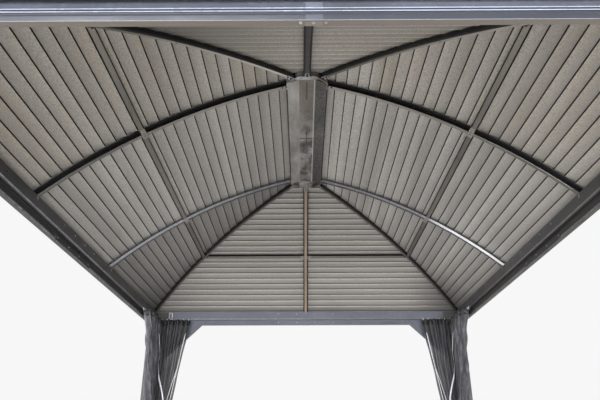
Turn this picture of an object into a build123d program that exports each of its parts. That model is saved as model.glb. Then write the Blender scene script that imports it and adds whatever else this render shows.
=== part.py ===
from build123d import *
from math import hypot, pi, sqrt, tan
import os

# Hardtop gazebo: a hip roof of arched rafters and ribbed sheets on four corner posts.
# Millimetres. X runs across the width, Y along the length, Z up from the ground.
# The front end is at -Y and the left side at -X. The origin is on the ground, at the middle of the plan.

# Plan and heights
inner_width = 2800        # between the inner faces of the two side rails
inner_length = 4010       # between the inner faces of the two end rails
beam_underside = 1980     # clear height below the beams
roof_rise = 674           # from the foot of a rafter to its head, along the underside
arch_sag = 84             # how far an arched rafter rises above the chord from foot to head

# Beams, an extruded fascia on all four sides
beam_height = 116
beam_thickness = 20
beam_lip = 2.5            # how far the lip at the foot of the beam stands out
lip_height = 3
bead_depth = 4            # how far the two beads on the outer face stand out
bead_height = 8
bead_foot = 23            # height of the lower bead above the foot of the beam
bead_slope = 2            # height that a bead takes to run out to its full depth
beam_chamfer = 10         # at the top outer edge, below the sheets
joint_gap = 0.5           # between two lengths that meet

# Curtain rails on the inner face of the beams
rail_height = 74
rail_depth = 32
rail_slot_width = 10
rail_slot_depth = 14

# Corner posts, angles with a base plate
post_leg = 150
post_thickness = 32
plate_size = 185
plate_thickness = 8
plate_corner = 10
anchor_hole = 13
anchor_spacing = 90
anchor_edge = 60          # from the inner edge of the plate to the line of its holes
anchor_start = 45         # from the inner edge of the plate to its first hole

# Corner gussets between the posts and the end beams
gusset_width = 365
gusset_height = 350
gusset_plate = 5
gusset_flange = 12
gusset_flange_depth = 22

# Splice plates over the middle joint of each beam
splice_length = 560
splice_height = 36
splice_plate = 4

# Rafters, ridge and hubs
rafter_width = 40
rafter_depth = 30
hip_width = 28
rafter_trim = 7           # from the outer face of the beam back to the tip of a rafter
ridge_half_width = 111    # from the middle to the outer edge of the ridge beam
crown_half_width = 47     # half of the flat in the middle of the ridge beam
crown_rise = 25           # from the edge of the ridge beam up to that flat
hub_plate = 5
hub_tab = 57              # how far a hub reaches back along the ridge beam
hub_height = 28
hub_drop = 2              # how far a hub hangs below the ridge beam
hub_rafter_gap = 4        # from the bend of the hub to the side rafter beside it

# Purlins, half way up each slope
purlin_offset = 498       # from the inner face of the rail to the middle of the purlin
purlin_width = 30
purlin_depth = 25

# Roof sheets, caps and eave trims
sheet_thickness = 14      # over the ribs of the sheet
sheet_overhang = 38       # from the outer face of the beam to the edge of the sheet
sheet_joint = 2           # between two sheets over a rafter
cap_half_width = 55
cap_thickness = 3
trim_thickness = 4
trim_height = 38
trim_drop = 14            # how far the trim hangs below the edge of the sheet

# Mosquito curtains, gathered round each post
curtain_thickness = 95
curtain_side_reach = 480  # from the corner of the rails, along a side
curtain_end_reach = 340   # from the corner of the rails, along an end
curtain_tie_height = 1000
curtain_tie_reach = 175
curtain_tie_thickness = 110
curtain_hem_height = 30
curtain_hem_reach = 235

seat_gap = 0.3            # between a piece and what it rests on

# Values that follow from the sizes above
half_w = inner_width / 2
half_l = inner_length / 2
hip_shift = half_l - half_w       # the hips run at 45 degrees, so an end slope is a side slope moved out
rail_bottom = beam_underside + beam_height - rail_height
eave_z = beam_underside + beam_height
ridge_z = eave_z + roof_rise
beam_inner = half_w + rail_depth
beam_outer = beam_inner + beam_thickness
sheet_edge = beam_outer + sheet_overhang
trim_outer = sheet_edge + seat_gap + trim_thickness
rafter_y = hip_shift + crown_half_width - hub_rafter_gap - rafter_width / 2
hub_inner = ridge_half_width + seat_gap
hub_outer = hub_inner + hub_plate
rafter_head = hub_outer + seat_gap
post_face = beam_inner - seat_gap
post_edge = post_face - post_leg
long_cut = half_l + 4 * post_leg  # longer than any run of the frame

# The arch of the rafters, as a circle in the X-Z plane on the right-hand slope
chord_run = half_w - ridge_half_width
chord = hypot(chord_run, roof_rise)
arch_radius = (chord**2 / 4 + arch_sag**2) / (2 * arch_sag)
arch_back = (arch_radius - arch_sag) / chord
arch_x = (half_w + ridge_half_width) / 2 - roof_rise * arch_back
arch_z = (eave_z + ridge_z) / 2 - chord_run * arch_back
sheet_radius = arch_radius + rafter_depth
cap_radius = sheet_radius + sheet_thickness + seat_gap

sides = {"left": -1, "right": 1}
ends = {"front": -1, "back": 1}


def arch_height(x, radius):
    """Height of an arch of this radius at a distance x from the middle of the slope's plan."""
    return arch_z + sqrt(radius**2 - (x - arch_x) ** 2)


def arch_band(inner_radius, outer_radius, x_start, x_end, moved=0.0):
    """Outline between two arches, from x_start out to x_end, moved outwards for an end slope."""
    x_middle = (x_start + x_end) / 2
    lower = [(x + moved, arch_height(x, inner_radius)) for x in (x_start, x_middle, x_end)]
    upper = [(x + moved, arch_height(x, outer_radius)) for x in (x_end, x_middle, x_start)]
    ThreePointArc(*lower)
    Line(lower[2], upper[0])
    ThreePointArc(*upper)
    Line(upper[2], lower[0])


def hip_plane(side, end):
    """Vertical plane through a hip, facing the end slope."""
    direction = Vector(side, end, 0).normalized()
    normal = Vector(-side, end, 0).normalized()
    return Plane(origin=(0, end * hip_shift, 0), x_dir=direction, z_dir=normal)


def beam_outline():
    """Section of a beam, from its inner face out and from its foot up."""
    face = beam_thickness
    points = [(0, 0), (face + beam_lip, 0), (face + beam_lip, lip_height), (face, lip_height + bead_slope)]
    for row in range(2):
        foot = bead_foot + row * (bead_height + 1)
        points += [(face, foot), (face + bead_depth, foot + bead_slope)]
        points += [(face + bead_depth, foot + bead_height - bead_slope), (face, foot + bead_height)]
    points += [(face, beam_height - beam_chamfer), (face - beam_chamfer, beam_height), (0, beam_height)]
    return [(beam_inner + out, beam_underside + up) for out, up in points]


def turn_to(side=1, end=1):
    """Mirror the piece in hand from the back right corner to the corner that it belongs to."""
    if side < 0:
        mirror(about=Plane.YZ, mode=Mode.REPLACE)
    if end < 0:
        mirror(about=Plane.XZ, mode=Mode.REPLACE)


def keep_piece(part, name):
    """Name a finished piece and write its file."""
    part.label = name
    export_step(part, f"parts/{name}.step")


os.makedirs("parts", exist_ok=True)

# Posts: an angle with its corner outwards, on a base plate with two anchor holes
post_end_face = half_l + rail_depth - seat_gap
for end_name, end in ends.items():
    for side_name, side in sides.items():
        with BuildPart() as post:
            with BuildSketch(Plane.XY):
                with Locations((post_face, post_end_face)):
                    Rectangle(plate_size, plate_size, align=(Align.MAX, Align.MAX))
                fillet(vertices(), plate_corner)
            extrude(amount=plate_thickness)
            with BuildSketch(Plane.XY.offset(plate_thickness)):
                with Locations((post_face, post_end_face)):
                    Rectangle(post_leg, post_thickness, align=(Align.MAX, Align.MAX))
                    Rectangle(post_thickness, post_leg, align=(Align.MAX, Align.MAX))
            extrude(amount=eave_z - plate_thickness)
            hole_x = post_face - plate_size + anchor_edge
            hole_y = post_end_face - plate_size + anchor_start
            with Locations((hole_x, hole_y, plate_thickness), (hole_x, hole_y + anchor_spacing, plate_thickness)):
                Hole(anchor_hole / 2, depth=plate_thickness)
            turn_to(side, end)
        keep_piece(post.part, f"post_{end_name}_{side_name}")

# Beams: two lengths that meet in the middle of each side, mitred at the corners
for side_name, side in sides.items():
    with BuildPart() as side_beam:
        with BuildSketch(Plane.XZ):
            with BuildLine():
                Polyline(*beam_outline(), close=True)
            make_face()
        extrude(amount=long_cut, both=True)
        for end in ends.values():
            split(bisect_by=hip_plane(1, end).offset(-joint_gap / 2), keep=Keep.BOTTOM)
        Box(4 * half_w, joint_gap, 4 * eave_z, mode=Mode.SUBTRACT)
        turn_to(side)
    keep_piece(side_beam.part, f"beam_{side_name}")

for end_name, end in ends.items():
    with BuildPart() as end_beam:
        with BuildSketch(Plane.YZ):
            with BuildLine():
                Polyline(*[(out + hip_shift, up) for out, up in beam_outline()], close=True)
            make_face()
        extrude(amount=long_cut, both=True)
        for side in sides.values():
            split(bisect_by=hip_plane(side, 1).offset(joint_gap / 2), keep=Keep.TOP)
        Box(joint_gap, 4 * half_l, 4 * eave_z, mode=Mode.SUBTRACT)
        turn_to(1, end)
    keep_piece(end_beam.part, f"beam_{end_name}")

# Curtain rails: box rails with a slot below, between the legs of the posts
rail_face = half_w + rail_depth - seat_gap
rail_middle = (half_w + rail_face) / 2
for side_name, side in sides.items():
    with BuildPart() as side_rail:
        with BuildSketch(Plane.XZ):
            with Locations((rail_middle, rail_bottom)):
                Rectangle(rail_face - half_w, rail_height, align=(Align.CENTER, Align.MIN))
                Rectangle(rail_slot_width, rail_slot_depth, align=(Align.CENTER, Align.MIN), mode=Mode.SUBTRACT)
        extrude(amount=post_edge + hip_shift - seat_gap, both=True)
        Box(4 * half_w, joint_gap, 4 * eave_z, mode=Mode.SUBTRACT)
        turn_to(side)
    keep_piece(side_rail.part, f"rail_{side_name}")

for end_name, end in ends.items():
    with BuildPart() as end_rail:
        with BuildSketch(Plane.YZ):
            with Locations((rail_middle + hip_shift, rail_bottom)):
                Rectangle(rail_face - half_w, rail_height, align=(Align.CENTER, Align.MIN))
                Rectangle(rail_slot_width, rail_slot_depth, align=(Align.CENTER, Align.MIN), mode=Mode.SUBTRACT)
        extrude(amount=post_edge - seat_gap, both=True)
        Box(joint_gap, 4 * half_l, 4 * eave_z, mode=Mode.SUBTRACT)
        turn_to(1, end)
    keep_piece(end_rail.part, f"rail_{end_name}")

# Splice plates: on the inner face of the beams, below the rails
splice_z = beam_underside + (rail_bottom - beam_underside) / 2
splice_middle = beam_inner - seat_gap - splice_plate / 2
with BuildPart() as splices:
    for side in sides.values():
        with Locations((side * splice_middle, 0, splice_z)):
            Box(splice_plate, splice_length, splice_height)
    for end in ends.values():
        with Locations((0, end * (splice_middle + hip_shift), splice_z)):
            Box(splice_length, splice_plate, splice_height)
keep_piece(splices.part, "beam_splices")

# Gussets: a plate with a flange along its slanting edge, against each end beam
gusset_top = rail_bottom - seat_gap
gusset_outer = post_edge - seat_gap
gusset_length = hypot(gusset_width, gusset_height)
gusset_inset_x = gusset_flange * gusset_length / gusset_height
gusset_inset_z = gusset_flange * gusset_length / gusset_width
with BuildPart() as gussets:
    tip = (gusset_outer - gusset_width, gusset_top)
    foot = (gusset_outer, gusset_top - gusset_height)
    with BuildSketch(Plane.XZ.offset(-post_end_face)):
        with BuildLine():
            Polyline(tip, foot, (gusset_outer, gusset_top), close=True)
        make_face()
    extrude(amount=gusset_plate)
    with BuildSketch(Plane.XZ.offset(-post_end_face)):
        with BuildLine():
            inner_foot = (foot[0], foot[1] + gusset_inset_z)
            inner_tip = (tip[0] + gusset_inset_x, tip[1])
            Polyline(tip, foot, inner_foot, inner_tip, close=True)
        make_face()
    extrude(amount=gusset_flange_depth)
    mirror(about=Plane.YZ)
    mirror(about=Plane.XZ)
keep_piece(gussets.part, "corner_gussets")

# Side rafters: arches from the hubs down to the side rails and beams
seat_z = eave_z + seat_gap
rafter_tip = beam_outer - rafter_trim
rafter_top = sheet_radius - seat_gap
for end_name, end in ends.items():
    for side_name, side in sides.items():
        with BuildPart() as side_rafter:
            with BuildSketch(Plane.XZ.offset(-rafter_y)):
                with BuildLine():
                    arch_band(arch_radius, rafter_top, rafter_head, rafter_tip)
                make_face()
            extrude(amount=rafter_width / 2, both=True)
            split(bisect_by=Plane.XY.offset(seat_z), keep=Keep.TOP)
            turn_to(side, end)
        keep_piece(side_rafter.part, f"side_rafter_{end_name}_{side_name}")

# End rafters: the same arch in the middle of each end
for end_name, end in ends.items():
    with BuildPart() as end_rafter:
        with BuildSketch(Plane.YZ):
            with BuildLine():
                arch_band(arch_radius, rafter_top, rafter_head, rafter_tip, hip_shift)
            make_face()
        extrude(amount=rafter_width / 2, both=True)
        split(bisect_by=Plane.XY.offset(seat_z), keep=Keep.TOP)
        turn_to(1, end)
    keep_piece(end_rafter.part, f"end_rafter_{end_name}")

# Hip rafters: the arch stretched along the diagonal, with a top that fits under both slopes
hip_head = (hub_inner + crown_half_width) / sqrt(2) + hub_plate + seat_gap
hip_foot = rafter_tip * sqrt(2)
hip_vertical = Plane(origin=(0, hip_shift, 0), x_dir=(1, 1, 0), z_dir=(1, -1, 0))
hip_steps = 8
hip_run = [hip_head + (hip_foot - hip_head) * step / hip_steps for step in range(hip_steps + 1)]
hip_under = [(w, arch_height(w / sqrt(2), arch_radius)) for w in hip_run]
for end_name, end in ends.items():
    for side_name, side in sides.items():
        with BuildPart() as hip:
            with BuildSketch(hip_vertical):
                with BuildLine():
                    Spline(*hip_under)
                    Polyline(hip_under[-1], (hip_foot, 2 * ridge_z), (hip_head, 2 * ridge_z), hip_under[0])
                make_face()
            extrude(amount=hip_width / 2, both=True)
            split(bisect_by=Plane.XY.offset(seat_z), keep=Keep.TOP)
            with BuildSketch(Plane.XZ):
                with Locations((arch_x, arch_z)):
                    Circle(rafter_top)
            extrude(amount=2 * long_cut, both=True, mode=Mode.INTERSECT)
            with BuildSketch(Plane.YZ):
                with Locations((arch_x + hip_shift, arch_z)):
                    Circle(rafter_top)
            extrude(amount=2 * long_cut, both=True, mode=Mode.INTERSECT)
            turn_to(side, end)
        keep_piece(hip.part, f"hip_rafter_{end_name}_{side_name}")

# Ridge beam: two lengths with a flat crown and sloping sides below, and a top that fits under the sheets
corner_in = hip_shift + crown_half_width
ridge_end = corner_in - seat_gap
crown_z = ridge_z + crown_rise
ridge_top_edge = arch_height(ridge_half_width, rafter_top)
ridge_top_middle = arch_height(0, rafter_top)
with BuildPart() as ridge:
    with BuildSketch(Plane.XZ):
        with BuildLine():
            half = [(0, crown_z), (crown_half_width, crown_z), (ridge_half_width, ridge_z)]
            half += [(ridge_half_width, ridge_top_edge), (0, ridge_top_middle)]
            Polyline(*half, close=True)
        make_face()
        mirror(about=Plane.YZ)
    extrude(amount=ridge_end, both=True)
    Box(4 * half_w, joint_gap, 4 * ridge_z, mode=Mode.SUBTRACT)
    for end in ends.values():
        with BuildSketch(Plane(origin=(0, 0, 0), x_dir=(0, end, 0), z_dir=(end, 0, 0))):
            with BuildLine():
                arch_band(rafter_top, sheet_radius + rafter_depth, 0, ridge_half_width, hip_shift)
            make_face()
        extrude(amount=ridge_half_width, both=True, mode=Mode.SUBTRACT)
keep_piece(ridge.part, "ridge_beam")

# Hubs: a plate bent to half an octagon round each end of the ridge beam, with a flat top plate
bend = hub_plate * tan(pi / 8)
face_in = hip_shift + hub_inner
for end_name, end in ends.items():
    with BuildPart() as hub:
        with BuildSketch(Plane.XY.offset(ridge_z - hub_drop)):
            with BuildLine():
                outer = [(hub_outer, corner_in - hub_tab), (hub_outer, corner_in + bend)]
                outer += [(crown_half_width + bend, face_in + hub_plate)]
                Polyline(*outer, *[(-x, y) for x, y in reversed(outer)], close=True)
            make_face()
            with BuildLine():
                inner = [(hub_inner, corner_in - hub_tab), (hub_inner, corner_in), (crown_half_width, face_in)]
                Polyline(*inner, *[(-x, y) for x, y in reversed(inner)], close=True)
            make_face(mode=Mode.SUBTRACT)
        extrude(amount=hub_height)
        with BuildSketch(Plane.XY.offset(crown_z)):
            with BuildLine():
                shelf = [(hub_inner, corner_in), (crown_half_width, face_in)]
                Polyline(*shelf, *[(-x, y) for x, y in reversed(shelf)], close=True)
            make_face()
        extrude(amount=hub_plate)
        turn_to(1, end)
    keep_piece(hub.part, f"ridge_hub_{end_name}")

# Purlins: bars under the sheets, in lengths between the rafters
purlin_x = half_w - purlin_offset
purlin_z = arch_height(purlin_x, rafter_top)
purlin_lean = Vector(purlin_z - arch_z, 0, arch_x - purlin_x).normalized()
side_purlin_plane = Plane(origin=(purlin_x, 0, purlin_z), x_dir=purlin_lean, z_dir=(0, -1, 0))
end_purlin_plane = Plane(
    origin=(0, purlin_x + hip_shift, purlin_z),
    x_dir=(0, purlin_lean.X, purlin_lean.Z),
    z_dir=(1, 0, 0),
)
rafter_room = rafter_width + 2 * seat_gap
hip_room = hip_width + 2 * seat_gap
with BuildPart() as side_purlins:
    with BuildSketch(side_purlin_plane):
        Rectangle(purlin_width, purlin_depth, align=(Align.CENTER, Align.MAX))
    extrude(amount=long_cut, both=True)
    for end in ends.values():
        split(bisect_by=hip_plane(1, end).offset(-hip_room / 2), keep=Keep.BOTTOM)
        with Locations((purlin_x, end * rafter_y, ridge_z)):
            Box(half_w, rafter_room, 2 * roof_rise, mode=Mode.SUBTRACT)
    mirror(about=Plane.YZ)
keep_piece(side_purlins.part, "side_purlins")

with BuildPart() as end_purlins:
    with BuildSketch(end_purlin_plane):
        Rectangle(purlin_width, purlin_depth, align=(Align.CENTER, Align.MAX))
    extrude(amount=long_cut, both=True)
    for side in sides.values():
        split(bisect_by=hip_plane(side, 1).offset(hip_room / 2), keep=Keep.TOP)
    with Locations((0, purlin_x + hip_shift, ridge_z)):
        Box(rafter_room, half_w, 2 * roof_rise, mode=Mode.SUBTRACT)
    mirror(about=Plane.XZ)
keep_piece(end_purlins.part, "end_purlins")

# Side roof sheets: a front, middle and back sheet on each long slope
for side_name, side in sides.items():
    with BuildPart() as middle_sheet:
        with BuildSketch(Plane.XZ):
            with BuildLine():
                arch_band(sheet_radius, sheet_radius + sheet_thickness, sheet_joint / 2, sheet_edge)
            make_face()
        extrude(amount=rafter_y - sheet_joint / 2, both=True)
        for end in ends.values():
            split(bisect_by=hip_plane(1, end).offset(-sheet_joint / 2), keep=Keep.BOTTOM)
        turn_to(side)
    keep_piece(middle_sheet.part, f"roof_{side_name}_middle")
    for end_name, end in ends.items():
        with BuildPart() as outer_sheet:
            with BuildSketch(Plane.XZ.offset(-rafter_y - sheet_joint / 2)):
                with BuildLine():
                    arch_band(sheet_radius, sheet_radius + sheet_thickness, sheet_joint / 2, sheet_edge)
                make_face()
            extrude(amount=-long_cut)
            split(bisect_by=hip_plane(1, 1).offset(-sheet_joint / 2), keep=Keep.BOTTOM)
            turn_to(side, end)
        keep_piece(outer_sheet.part, f"roof_{side_name}_{end_name}")

# End roof sheets: a left and a right sheet on each end slope
for end_name, end in ends.items():
    for side_name, side in sides.items():
        with BuildPart() as end_sheet:
            with BuildSketch(Plane.YZ.offset(sheet_joint / 2)):
                with BuildLine():
                    arch_band(sheet_radius, sheet_radius + sheet_thickness, sheet_joint, sheet_edge, hip_shift)
                make_face()
            extrude(amount=long_cut)
            split(bisect_by=hip_plane(1, 1).offset(sheet_joint / 2), keep=Keep.TOP)
            turn_to(side, end)
        keep_piece(end_sheet.part, f"roof_{end_name}_{side_name}")

# Ridge cap: a strip over the top of both long slopes, between the hip caps
with BuildPart() as ridge_cap:
    with BuildSketch(Plane.XZ):
        with BuildLine():
            arch_band(cap_radius, cap_radius + cap_thickness, 0, cap_half_width)
        make_face()
        mirror(about=Plane.YZ)
    extrude(amount=hip_shift - cap_half_width * sqrt(2) - seat_gap, both=True)
keep_piece(ridge_cap.part, "ridge_cap")

# Hip caps: a folded strip over each hip, made of a flap on each slope
with BuildPart() as side_flap:
    with BuildSketch(Plane.XZ):
        with BuildLine():
            arch_band(cap_radius, cap_radius + cap_thickness, 0, sheet_edge)
        make_face()
    extrude(amount=-long_cut)
    split(bisect_by=hip_plane(1, 1), keep=Keep.BOTTOM)
    split(bisect_by=hip_plane(1, 1).offset(-cap_half_width), keep=Keep.TOP)

with BuildPart() as end_flap:
    with BuildSketch(Plane.YZ):
        with BuildLine():
            arch_band(cap_radius, cap_radius + cap_thickness, 0, sheet_edge, hip_shift)
        make_face()
    extrude(amount=long_cut)
    split(bisect_by=hip_plane(1, 1), keep=Keep.TOP)
    split(bisect_by=hip_plane(1, 1).offset(cap_half_width), keep=Keep.BOTTOM)

with BuildPart() as hip_caps:
    add(side_flap.part)
    add(end_flap.part)
    mirror(about=Plane.YZ)
    mirror(about=Plane.XZ)
keep_piece(hip_caps.part, "hip_caps")

# Eave trims: an upright strip over the cut edge of the sheets on all four sides
trim_foot = arch_height(sheet_edge, sheet_radius) - trim_drop
trim_inner = sheet_edge + seat_gap
with BuildPart() as side_trim:
    with BuildSketch(Plane.XZ):
        with Locations((trim_inner, trim_foot)):
            Rectangle(trim_thickness, trim_height, align=(Align.MIN, Align.MIN))
    extrude(amount=long_cut, both=True)
    for end in ends.values():
        split(bisect_by=hip_plane(1, end).offset(-joint_gap / 2), keep=Keep.BOTTOM)

with BuildPart() as end_trim:
    with BuildSketch(Plane.YZ):
        with Locations((trim_inner + hip_shift, trim_foot)):
            Rectangle(trim_thickness, trim_height, align=(Align.MIN, Align.MIN))
    extrude(amount=long_cut, both=True)
    for side in sides.values():
        split(bisect_by=hip_plane(side, 1).offset(joint_gap / 2), keep=Keep.TOP)

with BuildPart() as eave_trims:
    add(side_trim.part)
    add(end_trim.part)
    mirror(side_trim.part, about=Plane.YZ)
    mirror(end_trim.part, about=Plane.XZ)
keep_piece(eave_trims.part, "eave_trims")

# Mosquito curtains: each gathered round the inside of a post, drawn in where it is tied
curtain_x = post_face - post_thickness - seat_gap
curtain_y = post_end_face - post_thickness - seat_gap
curtain_levels = [
    (rail_bottom - seat_gap, curtain_side_reach, curtain_end_reach, curtain_thickness),
    (curtain_tie_height, curtain_tie_reach, curtain_tie_reach, curtain_tie_thickness),
    (curtain_hem_height, curtain_hem_reach, curtain_hem_reach, curtain_tie_thickness),
]
for end_name, end in ends.items():
    for side_name, side in sides.items():
        with BuildPart() as curtain:
            for level, side_reach, end_reach, thickness in curtain_levels:
                with BuildSketch(Plane.XY.offset(level)):
                    with BuildLine():
                        Polyline(
                            (curtain_x, curtain_y),
                            (curtain_x, curtain_y - side_reach),
                            (curtain_x - thickness, curtain_y - side_reach),
                            (curtain_x - thickness, curtain_y - thickness),
                            (curtain_x - end_reach, curtain_y - thickness),
                            (curtain_x - end_reach, curtain_y),
                            close=True,
                        )
                    make_face()
            loft(ruled=True)
            turn_to(side, end)
        keep_piece(curtain.part, f"curtain_{end_name}_{side_name}")
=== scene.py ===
"""Looks of a hardtop gazebo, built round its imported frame.

Metres, Z up. X runs across the width, Y along the length, and the front end is at -Y.
"""

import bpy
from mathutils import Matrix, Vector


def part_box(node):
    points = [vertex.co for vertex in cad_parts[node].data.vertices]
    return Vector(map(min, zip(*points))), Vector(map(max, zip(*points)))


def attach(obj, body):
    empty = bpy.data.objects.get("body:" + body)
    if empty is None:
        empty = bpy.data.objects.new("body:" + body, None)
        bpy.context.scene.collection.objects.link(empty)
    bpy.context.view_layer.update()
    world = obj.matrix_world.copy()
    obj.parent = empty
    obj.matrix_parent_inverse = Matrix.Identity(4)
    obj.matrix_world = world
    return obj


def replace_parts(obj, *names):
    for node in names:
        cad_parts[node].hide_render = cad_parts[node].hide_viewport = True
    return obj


bl_info = {
    "name": "Hardtop gazebo",
    "version": (1, 0, 0),
    "blender": (4, 5, 0),
    "location": "3D View > Sidebar > Gazebo",
    "description": "Ribbed roof sheets, net curtains, fittings, paint and a studio for a hardtop gazebo",
    "category": "Add Mesh",
}

import math

import bmesh
import bpy
from bpy.props import FloatProperty, FloatVectorProperty, IntProperty, PointerProperty
from mathutils import Matrix, Vector

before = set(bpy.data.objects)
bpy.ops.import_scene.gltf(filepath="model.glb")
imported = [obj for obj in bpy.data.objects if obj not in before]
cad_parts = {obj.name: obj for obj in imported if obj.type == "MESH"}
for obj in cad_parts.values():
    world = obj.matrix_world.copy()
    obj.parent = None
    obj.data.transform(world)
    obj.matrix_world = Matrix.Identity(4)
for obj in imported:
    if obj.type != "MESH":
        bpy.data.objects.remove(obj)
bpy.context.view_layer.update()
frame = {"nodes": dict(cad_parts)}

SIDES = {"left": -1, "right": 1}
ENDS = {"front": -1, "back": 1}
DOWN = (0, 0, -1)
SEED = 0.001                                 # width of a new face or edge, before its ends are put in place
LOOKS = {}

# Places read from the frame
HALF_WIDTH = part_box("rail_right")[0].x       # inner face of the side rails
HALF_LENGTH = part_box("rail_back")[0].y       # inner face of the end rails
HIP_SHIFT = HALF_LENGTH - HALF_WIDTH         # an end slope is a side slope moved out by this
BEAM_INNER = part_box("beam_right")[0].x
BEAM_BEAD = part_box("beam_right")[1].x
BEAM_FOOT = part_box("beam_right")[0].z
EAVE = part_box("beam_right")[1].z
RAIL_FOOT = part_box("rail_right")[0].z
RIDGE_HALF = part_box("ridge_beam")[1].x
RIDGE_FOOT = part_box("ridge_beam")[0].z
RAFTER_LOW, RAFTER_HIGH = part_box("side_rafter_back_right")
RAFTER_WIDTH = RAFTER_HIGH.y - RAFTER_LOW.y
RAFTER_LINE = (RAFTER_HIGH.y + RAFTER_LOW.y) / 2
SHEET_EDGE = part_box("roof_right_middle")[1].x
POST_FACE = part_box("post_back_right")[1].x
POST_END_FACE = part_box("post_back_right")[1].y
CURTAIN_LOW, CURTAIN_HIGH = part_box("curtain_back_right")
RIDGE_CROWN = RIDGE_FOOT + 0.025             # the flat in the middle of the ridge beam
RIDGE_CROWN_HALF = 0.047
QUARTER = Matrix.Rotation(math.pi / 2, 4, "Z")

# How far a gathered curtain reaches from its corner, and how deep it is, from the tie down and up
TIE_HEIGHT, TIE_REACH, TIE_DEPTH = 1.0, 0.175, 0.11
HEM_REACH, TOP_DEPTH = 0.235, 0.095


# Sizes and colours that a user may change

def number(name, text, default, **kind):
    """A length, unless another kind of number is given."""
    return FloatProperty(name=name, description=text, default=default, **(kind or {"unit": "LENGTH"}))


def tint(name, text, default):
    return FloatVectorProperty(name=name, description=text, default=default, size=3, subtype="COLOR")


class ArchSizes(bpy.types.PropertyGroup):
    sag: number("Sag", "Rise of an arched rafter above its chord", 0.084)
    rafter_depth: number("Rafter depth", "From the underside of a rafter to the sheets", 0.03)
    purlin_run: number("Purlin run", "From the rail to the middle of the purlin", 0.498)
    purlin_depth: number("Purlin depth", "From the sheets to the underside of a purlin", 0.0249)
    hip_width: number("Hip width", "Width of a hip rafter", 0.028)
    lip: number("Lip", "Height of the turned-up lip of a rafter", 0.003)
    flange: number("Flange", "Width of the lower flange of a side rafter", 0.022)
    keel: number("Keel", "Height of the slanting edges of hip and end rafters", 0.007)
    metal: number("Metal", "Thickness of rafter and purlin metal", 0.0018)


class SheetSizes(bpy.types.PropertyGroup):
    pitch: number("Pitch", "From one step of the sheet to the next", 0.0634)
    phase: number("Phase", "From the middle of a purlin down to the next step", 0.017)
    step: number("Step", "Depth of a step of the sheet", 0.0085)
    seam_width: number("Seam width", "Width of the narrow seam above each step", 0.006)
    seam_depth: number("Seam depth", "Depth of the seam above the step", 0.0043)
    thickness: number("Thickness", "Thickness of the sheet metal", 0.001)
    joint: number("Joint", "Gap between two sheets over a rafter", 0.002)
    inside: tint("Inside", "Paint on the underside", (0.42, 0.402, 0.38))
    outside: tint("Outside", "Paint on the top", (0.075, 0.072, 0.07))


class PaintColours(bpy.types.PropertyGroup):
    frame: tint("Frame", "Posts, rafters and side rails", (0.035, 0.034, 0.036))
    beam: tint("Beam", "Beams, end rails and gussets", (0.084, 0.092, 0.116))
    bar: tint("Bar", "Purlins and rafter flanges", (0.26, 0.24, 0.215))
    ridge: tint("Ridge", "Ridge beam and hubs", (0.29, 0.28, 0.265))
    zinc: tint("Zinc", "Screws, clips and brackets", (0.62, 0.62, 0.64))


class CurtainSizes(bpy.types.PropertyGroup):
    folds: IntProperty(name="Folds", description="Folds of each curtain", default=20, min=4)
    width: number("Width", "Width of a curtain before it is gathered", 3.4)
    net: tint("Net", "Colour of the net", (0.034, 0.034, 0.04))
    tape: tint("Tape", "Colour of the edge tapes", (0.72, 0.72, 0.78))


class AnchorSizes(bpy.types.PropertyGroup):
    across: number("Across flats", "Size of the anchor bolts", 0.019)
    line_x: number("Line X", "Holes, from the middle along X", 1.3067)
    line_y: number("First hole Y", "Inner hole, along Y", 1.8967)
    spacing: number("Spacing", "Between the two holes", 0.09)
    plate: number("Plate", "Thickness of the base plate", 0.008)


class StageSizes(bpy.types.PropertyGroup):
    lens: number("Lens", "Focal length of the camera in mm", 34.52, unit="NONE")
    place: FloatVectorProperty(
        name="Camera", description="Place of the camera", default=(-0.0305, -3.3369, 0.8527), size=3,
        subtype="TRANSLATION",
    )
    pitch: number("Pitch", "Upward tilt", 0.4205, subtype="ANGLE")
    yaw: number("Yaw", "Turn to the right", -0.0039, subtype="ANGLE")
    roll: number("Roll", "Roll of the camera", -0.0022, subtype="ANGLE")
    floor: tint("Floor", "Colour of the floor", (0.78, 0.77, 0.75))


def sizes_of(group):
    """The settings of one group."""
    return getattr(bpy.context.scene, f"gazebo_{group}")


# Geometry shared by the pieces

def arch():
    """Centre (x, z) and radius of the underside of a rafter on the right-hand slope."""
    sag = sizes_of("arch").sag
    run, rise = HALF_WIDTH - RIDGE_HALF, RIDGE_FOOT - EAVE
    chord = math.hypot(run, rise)
    radius = (chord**2 / 4 + sag**2) / (2 * sag)
    back = (radius - sag) / chord
    return (HALF_WIDTH + RIDGE_HALF) / 2 - rise * back, (EAVE + RIDGE_FOOT) / 2 - run * back, radius


def on_slope(angle, lift):
    """Point (x, z) at an angle from the top of the arch and a height above the sheet's underside."""
    centre_x, centre_z, radius = arch()
    reach = radius + sizes_of("arch").rafter_depth + lift
    return centre_x + reach * math.sin(angle), centre_z + reach * math.cos(angle)


def slope_angle(x):
    """Angle on the arch, along the sheet's underside, at a distance x from the middle of the plan."""
    centre_x, _, radius = arch()
    return math.asin((x - centre_x) / (radius + sizes_of("arch").rafter_depth))


def purlin_x():
    """Middle of the purlin of the right-hand slope."""
    return HALF_WIDTH - sizes_of("arch").purlin_run


def corner_mirror(side, end):
    """Mirror from the back right corner to another corner."""
    return Matrix.Diagonal((side, end, 1, 1))


def end_slope(end):
    """Turn and shift that take the right-hand slope to an end slope."""
    return Matrix.Translation((0, end * HIP_SHIFT, 0)) @ Matrix.Rotation(end * math.pi / 2, 4, "Z")


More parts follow.
